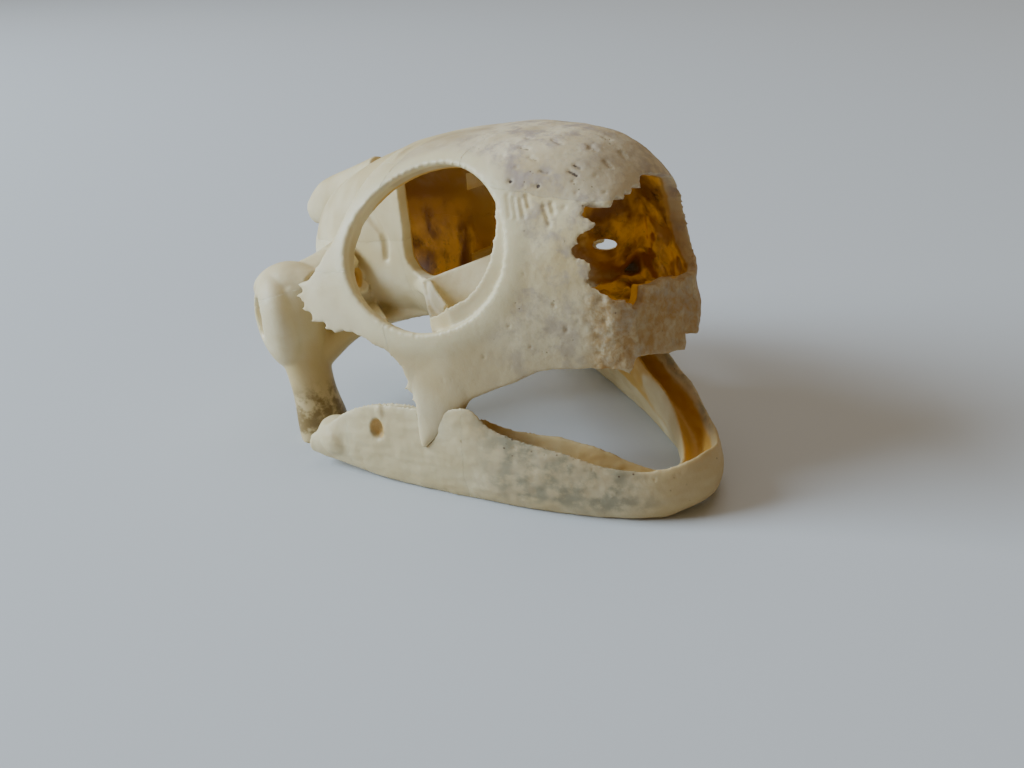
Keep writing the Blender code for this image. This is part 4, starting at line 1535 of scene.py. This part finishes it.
@dataclass
class JawMaps:
    """Where the lower jaw is speckled, grey, amber or grooved, and where shade is painted on it."""

    jaw: LowerJaw

    def measure(self, skin: Skin) -> dict[str, np.ndarray]:
        """All maps of a mesh in the frame of the level surface.

        Args:
            skin: The mesh.

        Returns:
            One array a map, from 0 to 1.
        """
        x, y, z = skin.points.T
        t = np.clip((y - self.jaw.tip[1]) / self.jaw.half_spread, -1, 1)
        share = np.abs(t)
        rows = [(value, smooth_value(self.jaw.heights, 1, float(value))) for value in np.linspace(0, 1, 60)]
        height = np.interp(share, [row[0] for row in rows], [row[1] for row in rows])
        edge_x = self.jaw.tip[0] - self.jaw.length * share**self.jaw.power
        slope = self.jaw.length * self.jaw.power * share ** (self.jaw.power - 1) / self.jaw.half_spread
        inward = (edge_x - x) / np.sqrt(1 + slope**2)
        front = 1 - ease(share, 0.60, 0.72)
        lip = 1 - ease(np.abs(z - height + 0.5), 0.3, 1.3)
        outer = 1 - ease(inward, 0.25, 0.6)
        trough = ease(inward, 0.35, 0.7) * (1 - ease(inward, 2.3, 2.8)) * ease(z / height, 0.42, 0.55)
        streak = skin.grain(0.9, 4.0)
        here = self.jaw.place(self.jaw.pit_share)
        from_pit = skin.points * np.array((1, 0, 1)) + np.array((-here.x - 0.2, 0, -4.35))
        off = np.linalg.norm(from_pit / np.array((0.75, 1, 0.9)), axis=1)
        # Painted shade in the jaw's vessel pit.
        hole_shade = (1 - ease(off, 0.7, 1.05)) * ease(share, 0.6, 0.7) * (1 - ease(inward, 0.5, 0.8))
        middle = 1 - ease(np.abs(share - 0.08), 0.10, 0.3)
        far = ease(y, -2.5, 1.5)
        low_edge = 1 - ease(z, 0.4, 1.8)
        grey = 0.85 * outer * front * ease(0.55 + 0.9 * streak, 0.1, 0.75)
        return {
            # Amber staining in the trough, heavier on the far side, and painted shade in the pit.
            "stain": np.maximum(trough * front * (0.16 + 0.38 * far), 0.3 * hole_shade),
            # Painted shade on the outer face, which faces away from the light: strongest along the front,
            # less at the lower edge.
            "tan": np.clip(outer * front * (0.95 - 0.45 * low_edge) + 0.3 * outer * (1 - front), 0, 1),
            "pore": outer * front * 0.3,
            "rim": 0.45 * ease(share, 0.66, 0.8),
            "sponge": np.zeros(len(x)),
            # Grey-green mottling, and painted shade in the pit.
            "olive": np.maximum(grey * ease(z / height, 0.02, 0.3) * (1 - middle), hole_shade),
            "amber": np.maximum(0.7 * trough * front, 0.35 * low_edge + 0.85 * middle * outer),
            "speck": lip * outer * ease(share, -0.1, 0.05) * front,
        }

    def relief(self, skin: Skin) -> np.ndarray:
        """How far each vertex stands out or lies deep, in millimetres.

        Args:
            skin: The mesh.

        Returns:
            One number a vertex.
        """
        long_way = skin.points.copy()
        long_way[:, 2] *= 3.2
        grooves = np.array([noise.noise(Vector(p) / 1.5 + Vector((7, 2, 9))) for p in long_way])
        up = 0.05 * skin.grain(3.0, 2.0) + 0.035 * skin.grain(1.2, 6.0, 2) + 0.014 * skin.grain(0.4, 9.0, 1)
        up += 0.05 * grooves
        draw = random.Random(41)
        for _ in range(60):
            t = draw.uniform(-0.62, 0.62)
            drop = 0.3 + 1.6 * draw.random()
            height = smooth_value(self.jaw.heights, 1, abs(t))
            place = self.jaw.place(t) + Vector((0, 0, height - drop))
            gap = np.linalg.norm(skin.points - np.array(place), axis=1)
            radius = draw.uniform(0.08, 0.13)
            up -= radius * 0.5 * (1 - ease(gap, radius * 0.5, radius * 1.6))
        return up


class Signal:
    """A number that varies over the surface; arithmetic on it adds Math nodes."""

    def __init__(self, graph: "BoneGraph", socket: bpy.types.NodeSocket) -> None:
        """Wrap an output socket of a graph."""
        self.graph = graph
        self.socket = socket

    def _math(self, operation: str, first: object, second: object) -> "Signal":
        """One Math node on two values."""
        node = self.graph.node("ShaderNodeMath", {"operation": operation}, {0: first, 1: second})
        return Signal(self.graph, node.outputs[0])

    def __add__(self, other: object) -> "Signal":
        """Sum."""
        return self._math("ADD", self, other)

    __radd__ = __add__

    def __sub__(self, other: object) -> "Signal":
        """Difference."""
        return self._math("SUBTRACT", self, other)

    def __rsub__(self, other: object) -> "Signal":
        """Difference from a number."""
        return self._math("SUBTRACT", other, self)

    def __mul__(self, other: object) -> "Signal":
        """Product."""
        return self._math("MULTIPLY", self, other)

    __rmul__ = __mul__

    def held(self) -> "Signal":
        """The same number held between 0 and 1."""
        node = self.graph.node("ShaderNodeMath", {"operation": "ADD", "use_clamp": True}, {0: self, 1: 0.0})
        return Signal(self.graph, node.outputs[0])

    def stepped(self, low: float, high: float) -> "Signal":
        """Smooth step from 0 at low to 1 at high.

        Args:
            low: Where the step starts.
            high: Where it ends.

        Returns:
            The shaped number.
        """
        settings = {"interpolation_type": "SMOOTHSTEP"}
        sockets = {"Value": self, "From Min": low, "From Max": high, "To Min": 0.0, "To Max": 1.0}
        return Signal(self.graph, self.graph.node("ShaderNodeMapRange", settings, sockets).outputs[0])


class BoneGraph:
    """Node tree of one bone finish."""

    def __init__(self, name: str) -> None:
        """Make an empty material.

        Args:
            name: Name of the material.
        """
        self.material = bpy.data.materials.new(name)
        self.material.use_nodes = True
        self.tree = self.material.node_tree
        self.shader = self.tree.nodes["Principled BSDF"]
        self.where = self.node("ShaderNodeTexCoord", {}, {}).outputs["Object"]

    def node(self, kind: str, settings: dict[str, object], sockets: dict[object, object]) -> bpy.types.Node:
        """Add a node.

        Args:
            kind: Blender's name for the node type.
            settings: Its properties, set first.
            sockets: Values or links of its input sockets, by name or place.

        Returns:
            The node.
        """
        made = self.tree.nodes.new(kind)
        for key, value in settings.items():
            setattr(made, key, value)
        for key, value in sockets.items():
            self.feed(made.inputs[key], value)
        return made

    def feed(self, socket: bpy.types.NodeSocket, value: object) -> None:
        """Link or set one input socket.

        Args:
            socket: The input.
            value: A link, a colour or a number.
        """
        if isinstance(value, Signal):
            self.tree.links.new(value.socket, socket)
        elif isinstance(value, bpy.types.NodeSocket):
            self.tree.links.new(value, socket)
        elif isinstance(value, tuple) and len(value) == 3 and socket.type == "RGBA":
            socket.default_value = (*value, 1.0)
        else:
            socket.default_value = value

    def noise(self, size: float, detail: float = 3.0, rough: float = 0.55, where: object = None) -> Signal:
        """Noise with lumps of a size in millimetres, 0 to 1.

        Args:
            size: Width of a lump.
            detail: Finer layers on top.
            rough: How strong they are.
            where: Coordinates, if not the object's own.

        Returns:
            The noise.
        """
        sockets = {
            "Vector": where or self.where, "Scale": 1 / (size * MM), "Detail": detail, "Roughness": rough,
        }
        return Signal(self, self.node("ShaderNodeTexNoise", {}, sockets).outputs["Fac"])

    def cells(self, size: float, where: object = None) -> Signal:
        """Distance to the nearest of scattered points, about 0 to 1."""
        sockets = {"Vector": where or self.where, "Scale": 1 / (size * MM), "Randomness": 1.0}
        return Signal(self, self.node("ShaderNodeTexVoronoi", {}, sockets).outputs["Distance"])

    def stretched(self, scale: Place, turn: Place = (0.0, 0.0, 0.0)) -> bpy.types.NodeSocket:
        """Object coordinates stretched along their axes, for streaks."""
        sockets = {"Vector": self.where, "Rotation": turn, "Scale": scale}
        return self.node("ShaderNodeMapping", {}, sockets).outputs[0]

    def bent(self, amount: float, size: float) -> bpy.types.NodeSocket:
        """Object coordinates pushed about by noise, so that patches have uneven edges.

        Args:
            amount: How far it pushes, in millimetres.
            size: Width of a bend, in millimetres.

        Returns:
            The coordinates.
        """
        sockets = {"Vector": self.where, "Scale": 1 / (size * MM), "Detail": 2.0}
        wobble = self.node("ShaderNodeTexNoise", {}, sockets).outputs["Color"]
        moved = self.node("ShaderNodeVectorMath", {"operation": "SCALE"}, {0: wobble, 3: amount * MM})
        total = self.node("ShaderNodeVectorMath", {"operation": "ADD"}, {0: self.where, 1: moved.outputs[0]})
        return total.outputs[0]

    def map(self, name: str) -> Signal:
        """One of the maps kept on the mesh."""
        settings = {"attribute_type": "GEOMETRY", "attribute_name": name}
        return Signal(self, self.node("ShaderNodeAttribute", settings, {}).outputs["Fac"])

    def mix(self, share: object, first: object, second: object) -> bpy.types.NodeSocket:
        """Colour between two colours.

        Args:
            share: How much of the second.
            first: First colour.
            second: Second colour.

        Returns:
            The mixed colour.
        """
        settings = {"data_type": "RGBA", "blend_type": "MIX", "clamp_factor": True}
        return self.node("ShaderNodeMix", settings, {0: share, 6: first, 7: second}).outputs[2]


@dataclass(frozen=True)
class BoneFinish:
    """Dry bone with its own ground colour; the maps on the mesh say where it is worn or stained, and where
    shade and a glow are painted on it.
    """

    slot: Slot
    light: Colour
    warm: Colour
    mottle: Colour = (0.33, 0.265, 0.235)
    rim: Colour = (0.76, 0.665, 0.40)
    amber: Colour = (0.62, 0.36, 0.07)
    # Brown of the heaviest stain, partly painted shade deep inside the cavities.
    brown: Colour = (0.21, 0.072, 0.006)
    # Near black: painted shade deepest inside, and the dark nicks.
    soot: Colour = (0.035, 0.012, 0.003)
    olive: Colour = (0.23, 0.215, 0.135)
    # Painted shade on parts that face away from the light.
    tan: Colour = (0.40, 0.325, 0.205)
    yellow: Colour = (0.56, 0.41, 0.17)
    spongy: Colour = (0.40, 0.235, 0.075)
    speck: Colour = (0.10, 0.052, 0.02)
    # Painted glow of the stained insides.
    glow: Colour = (0.30, 0.135, 0.01)
    roughness: float = 0.55
    subsurface: float = 0.12

    def material(self) -> bpy.types.Material:
        """The finish as a procedural material.

        Returns:
            The material.
        """
        graph = BoneGraph(self.slot.value)
        stain, pore, rim = graph.map("stain"), graph.map("pore"), graph.map("rim")
        sponge, olive, amber = graph.map("sponge"), graph.map("olive"), graph.map("amber")
        mark, speck, tan = graph.map("mark"), graph.map("speck"), graph.map("tan")
        bent = graph.bent(0.9, 2.2)
        broad, cloud = graph.noise(5.0, 2.0), graph.noise(1.5, 5.0, 0.62, bent)
        grit = graph.noise(0.32, 4.0, 0.6)
        fibre = graph.noise(0.5, 3.0, 0.6, graph.stretched((0.3, 1.0, 1.0), (0.0, 0.35, 0.3)))
        colour = graph.mix(broad.stepped(0.35, 0.65), self.light, self.warm)
        colour = graph.mix(cloud.stepped(0.42, 0.75) * 0.35, colour, self.warm)
        blotch = (cloud + (fibre - 0.5) * 0.25).stepped(0.44, 0.66) * pore
        colour = graph.mix(blotch * 0.75, colour, self.mottle)
        colour = graph.mix(grit.stepped(0.55, 0.75) * pore * 0.3, colour, self.mottle)
        # Painted shade where the surface faces away from the light.
        colour = graph.mix((tan * (cloud * 0.9 + 0.35)).held() * 0.8, colour, self.tan)
        colour = graph.mix(rim * 0.75, colour, self.rim)
        colour = graph.mix((amber * (cloud * 0.7 + 0.5)).held() * 0.85, colour, self.yellow)
        dull = olive * (cloud + (fibre - 0.5) * 0.5).stepped(0.36, 0.6)
        colour = graph.mix(dull * 0.85, colour, self.olive)
        froth = graph.noise(0.45, 4.0, 0.65, bent)
        soaked = graph.noise(1.6, 3.0, 0.6).stepped(0.35, 0.62)
        foam = (sponge * (froth.stepped(0.4, 0.62) * 0.55 + soaked * 0.5)).held()
        colour = graph.mix(foam, colour, self.spongy)
        dirt = graph.noise(2.4, 4.0, 0.55, bent)
        # Amber staining where the stain is light, turning into painted shade deeper inside: brown, then
        # near-black patches.
        depth = (stain * 1.05 + (dirt - 0.5) * 0.6 * stain.stepped(0.02, 0.3)).held()
        colour = graph.mix(depth.stepped(0.05, 0.5), colour, self.amber)
        colour = graph.mix(depth.stepped(0.72, 1.1) * 0.85, colour, self.brown)
        soot = stain.stepped(0.85, 0.98) * graph.noise(1.0, 5.0, 0.65).stepped(0.52, 0.66)
        colour = graph.mix(soot * 0.8, colour, self.soot)
        # Dark dots in the porous patches: painted shade in tiny pores, which the bump also sinks.
        dots = 1.0 - graph.cells(0.5, bent).stepped(0.06, 0.15)
        lone = graph.noise(1.9, 1.0).stepped(0.56, 0.62)
        colour = graph.mix(dots * lone * pore * 0.8, colour, self.speck)
        nick = (mark + (grit - 0.5) * 0.25).stepped(0.74, 0.86)
        colour = graph.mix(nick * 0.95, colour, self.soot)
        fly = 1.0 - graph.cells(0.48, bent).stepped(0.08, 0.2)
        patch = graph.noise(0.9, 2.0).stepped(0.46, 0.58)
        colour = graph.mix(fly * patch * speck * 0.9, colour, self.speck)
        graph.feed(graph.shader.inputs["Base Color"], colour)
        rough = self.roughness + (cloud - 0.5) * 0.2 + pore * 0.12 + depth * 0.05 - rim * 0.08
        graph.feed(graph.shader.inputs["Roughness"], rough.held())
        height = grit * (pore * 0.6 + sponge + 0.25) + dots * lone * pore * -0.8 + cloud * 0.4
        height = height + fibre * 0.35 + froth * sponge * 1.6 + graph.noise(0.14, 3.0) * 0.25
        bump = graph.node("ShaderNodeBump", {}, {"Strength": 0.55, "Distance": 0.06 * MM, "Height": height})
        graph.feed(graph.shader.inputs["Normal"], bump.outputs[0])
        # Painted glow: the deeply stained insides give off a faint orange light.
        painted_emission = graph.mix(stain.stepped(0.55, 0.95) * dirt.stepped(0.66, 0.36), (0.0, 0.0, 0.0), self.glow)
        graph.feed(graph.shader.inputs["Emission Color"], painted_emission)
        graph.feed(graph.shader.inputs["Emission Strength"], 0.5)
        graph.feed(graph.shader.inputs["Subsurface Weight"], self.subsurface)
        graph.feed(graph.shader.inputs["Subsurface Radius"], (1.0, 0.62, 0.34))
        graph.feed(graph.shader.inputs["Subsurface Scale"], 0.9 * MM)
        graph.feed(graph.shader.inputs["IOR"], 1.5)
        return graph.material


FINISHES: tuple[BoneFinish, ...] = (
    BoneFinish(Slot.IVORY, (0.75, 0.64, 0.39), (0.60, 0.47, 0.235)),
    BoneFinish(Slot.ROOF, (0.69, 0.585, 0.39), (0.50, 0.385, 0.21), roughness=0.6),
    BoneFinish(Slot.STAINED, (0.80, 0.70, 0.46), (0.67, 0.54, 0.28)),
    BoneFinish(Slot.AMBER, (0.79, 0.70, 0.45), (0.66, 0.53, 0.26), olive=(0.20, 0.125, 0.03), roughness=0.42),
    BoneFinish(Slot.BEAK, (0.62, 0.51, 0.31), (0.48, 0.35, 0.165), roughness=0.68),
)


SLOT_OF: dict[str, Slot] = {
    "premaxilla": Slot.BEAK, "frontal": Slot.ROOF, "prefrontal": Slot.ROOF, "braincase": Slot.STAINED,
    "palate": Slot.STAINED, "quadrate": Slot.AMBER,
}


@dataclass
class TurtleSkull:
    """The whole skull: both assemblies built, parted, worn, posed and dressed."""

    head: HeadShell = field(default_factory=HeadShell)
    interior: Interior = field(default_factory=Interior)
    joint: JawJoint = field(default_factory=JawJoint)
    jaw: LowerJaw = field(default_factory=LowerJaw)
    seams: Seams = field(default_factory=Seams)
    pose: Pose = field(default_factory=Pose)
    voxel: float = 0.14
    smoothing: int = 7
    strut_gap: float = 0.06
    sharp: float = math.radians(80)

    def cranium(self) -> bpy.types.Object:
        """The cranium in one fine skin, before it is parted.

        Returns:
            The cranium, in millimetres.
        """
        shell = self.head.shell()
        pieces = [self.interior.braincase(), self.interior.palate_body()] + self.interior.rear_parts()
        sides = self.joint.pieces() + [
            self.interior.orbit_floor(self.head), self.interior.saddle(), self.joint.strut(),
        ]
        Bench.combine(shell, pieces + Bench.both(sides), "UNION")
        holes = Bench.both(self.joint.hollows() + [Bench.blob("foramen", *self.interior.foramen)])
        Bench.combine(shell, holes + [self.interior.slit()], "DIFFERENCE")
        return Bench.grow_together(shell, self.voxel, self.smoothing)

    def bones(self) -> dict[str, bpy.types.Object]:
        """All bones, worn and posed on the level surface, in millimetres.

        Returns:
            The bones by name.
        """
        whole = self.cranium()
        LOG.info("cranium skin: %d faces", len(whole.data.polygons))
        maps = CraniumMaps(self.head, self.interior)
        skin = Skin(whole)
        skin.push(maps.relief(skin, maps.measure(skin)))
        bones = part_bones(whole, self.seams.cutters(), self.seams.seeds())
        for bone in bones.values():
            skin = Skin(bone)
            for name, values in maps.measure(skin).items():
                if name not in SHAPING_MAPS:
                    skin.keep(name, values)
            bone.data.transform(self.pose.cranium())
        jaw = self.jaw.whole()
        jaw_maps = JawMaps(self.jaw)
        jaw_skin = Skin(jaw)
        jaw_skin.push(jaw_maps.relief(jaw_skin))
        for side in Side:
            self.clear_of(jaw, bones["maxilla_" + side.word])
        parts = part_bones(jaw, self.jaw.cuts(), self.jaw.seeds())
        for bone in parts.values():
            skin = Skin(bone)
            for name, values in jaw_maps.measure(skin).items():
                skin.keep(name, values)
        bones.update(parts)
        return bones

    def clear_of(self, item: bpy.types.Object, neighbour: bpy.types.Object) -> None:
        """Cut an item clear of a neighbour by a small gap.

        Args:
            item: The body that is cut.
            neighbour: The body that it clears.
        """
        spread = neighbour.copy()
        spread.data = neighbour.data.copy()
        bpy.context.scene.collection.objects.link(spread)
        swollen = Skin(spread)
        swollen.push(np.full(len(swollen.points), self.strut_gap))
        Bench.combine(item, [spread], "DIFFERENCE")

    def build(self, nodes: dict[str, bpy.types.Object]) -> list[bpy.types.Object]:
        """Make every bone and put it in the place of its node.

        Args:
            nodes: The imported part's nodes by name.

        Returns:
            The bones.
        """
        bones = self.bones()
        finishes = {finish.slot: finish.material() for finish in FINISHES}
        made = []
        for name in sorted(nodes):
            bone = bones[name]
            stem = name.rsplit("_", 1)[0] if name.endswith(("_right", "_left")) else name
            slot = SLOT_OF.get(stem, Slot.IVORY)
            self.rest(bone)
            bone.data.transform(self.pose.row())
            bone.name = bone.data.name = name + "_bone"
            bone.data.materials.clear()
            bone.data.materials.append(finishes[slot])
            bone.data.shade_smooth()
            bone.data.set_sharp_from_angle(angle=self.sharp)
            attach(bone, BODY)
            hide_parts(name)
            triangles = sum(len(face.vertices) - 2 for face in bone.data.polygons)
            LOG.info("%s: %d triangles, %s", bone.name, triangles, slot.value)
            made.append(bone)
        return made

    @staticmethod
    def rest(bone: bpy.types.Object) -> None:
        """Flatten what reaches below the level surface onto it.

        Args:
            bone: The bone, posed and in millimetres.
        """
        skin = Skin(bone)
        skin.points[:, 2] = np.maximum(skin.points[:, 2], 0.0)
        skin.push(np.zeros(len(skin.points)))


@dataclass
class Studio:
    """Pale floor, soft window light from the left and the camera of the photo."""

    target: Place = (1.0, 1.1, 2.83)
    azimuth: float = math.radians(41.39)
    elevation: float = math.radians(24.71)
    distance: float = 85.8
    roll: float = math.radians(-3.51)
    lens: float = 38.67
    pale: Colour = (0.60, 0.625, 0.645)
    dim: Colour = (1.0, 0.74, 0.42)
    dim_strength: float = 0.23

    def camera(self) -> None:
        """Camera with the photo's place, turn and field of view."""
        data = bpy.data.cameras.new("camera")
        data.sensor_width = 36.0
        data.lens = self.lens
        data.clip_start, data.clip_end = 0.001, 10.0
        item = bpy.data.objects.new("camera", data)
        bpy.context.scene.collection.objects.link(item)
        level = math.cos(self.elevation)
        back = Vector((
            level * math.cos(self.azimuth), -level * math.sin(self.azimuth), math.sin(self.elevation),
        ))
        item.location = (Vector(self.target) + back * self.distance) * MM
        item.rotation_mode = "QUATERNION"
        aim = (-back).to_track_quat("-Z", "Y").to_matrix() @ Matrix.Rotation(self.roll, 3, "Z")
        item.rotation_quaternion = aim.to_quaternion()
        bpy.context.scene.camera = item

    def floor(self) -> None:
        """Plain pale floor."""
        bm = bmesh.new()
        bmesh.ops.create_grid(bm, x_segments=8, y_segments=8, size=1.5)
        item = Bench.link("floor", bm)
        material = bpy.data.materials.new("floor")
        material.use_nodes = True
        shader = material.node_tree.nodes["Principled BSDF"]
        shader.inputs["Base Color"].default_value = (*self.pale, 1.0)
        shader.inputs["Roughness"].default_value = 0.8
        shader.inputs["Specular IOR Level"].default_value = 0.2
        item.data.materials.append(material)

    def lamp(self, name: str, place: Place, size: float, watts: float, colour: Colour) -> None:
        """Square soft light that looks at the skull.

        Args:
            name: Name of the light.
            place: Where it stands, in metres.
            size: Its side, in metres.
            watts: Its power.
            colour: Its colour.
        """
        data = bpy.data.lights.new(name, "AREA")
        data.shape, data.size, data.energy, data.color = "SQUARE", size, watts, colour
        item = bpy.data.objects.new(name, data)
        bpy.context.scene.collection.objects.link(item)
        item.location = place
        item.rotation_mode = "QUATERNION"
        item.rotation_quaternion = (-Vector(place)).to_track_quat("-Z", "Y")

    def light(self) -> None:
        """Window on the left, sky above and a dim room around."""
        world = bpy.data.worlds.new("room")
        world.use_nodes = True
        back = world.node_tree.nodes["Background"]
        back.inputs["Color"].default_value = (*self.dim, 1.0)
        back.inputs["Strength"].default_value = self.dim_strength
        bpy.context.scene.world = world
        self.lamp("window", (-0.37, -0.40, 0.32), 0.35, 6.0, (0.78, 0.95, 1.13))
        self.lamp("sky", (-0.1, 0.15, 0.6), 0.5, 0.8, (0.96, 0.98, 1.0))


def main() -> None:
    """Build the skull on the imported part, then the studio round it."""
    logging.basicConfig(level=logging.INFO, format="%(name)s: %(message)s")
    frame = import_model()
    skull = TurtleSkull()
    bones = skull.build(frame["nodes"])
    LOG.info("%d bones stand in for %d nodes", len(bones), len(frame["nodes"]))
    studio = Studio()
    studio.floor()
    studio.light()
    studio.camera()


if __name__ == "__main__":
    main()
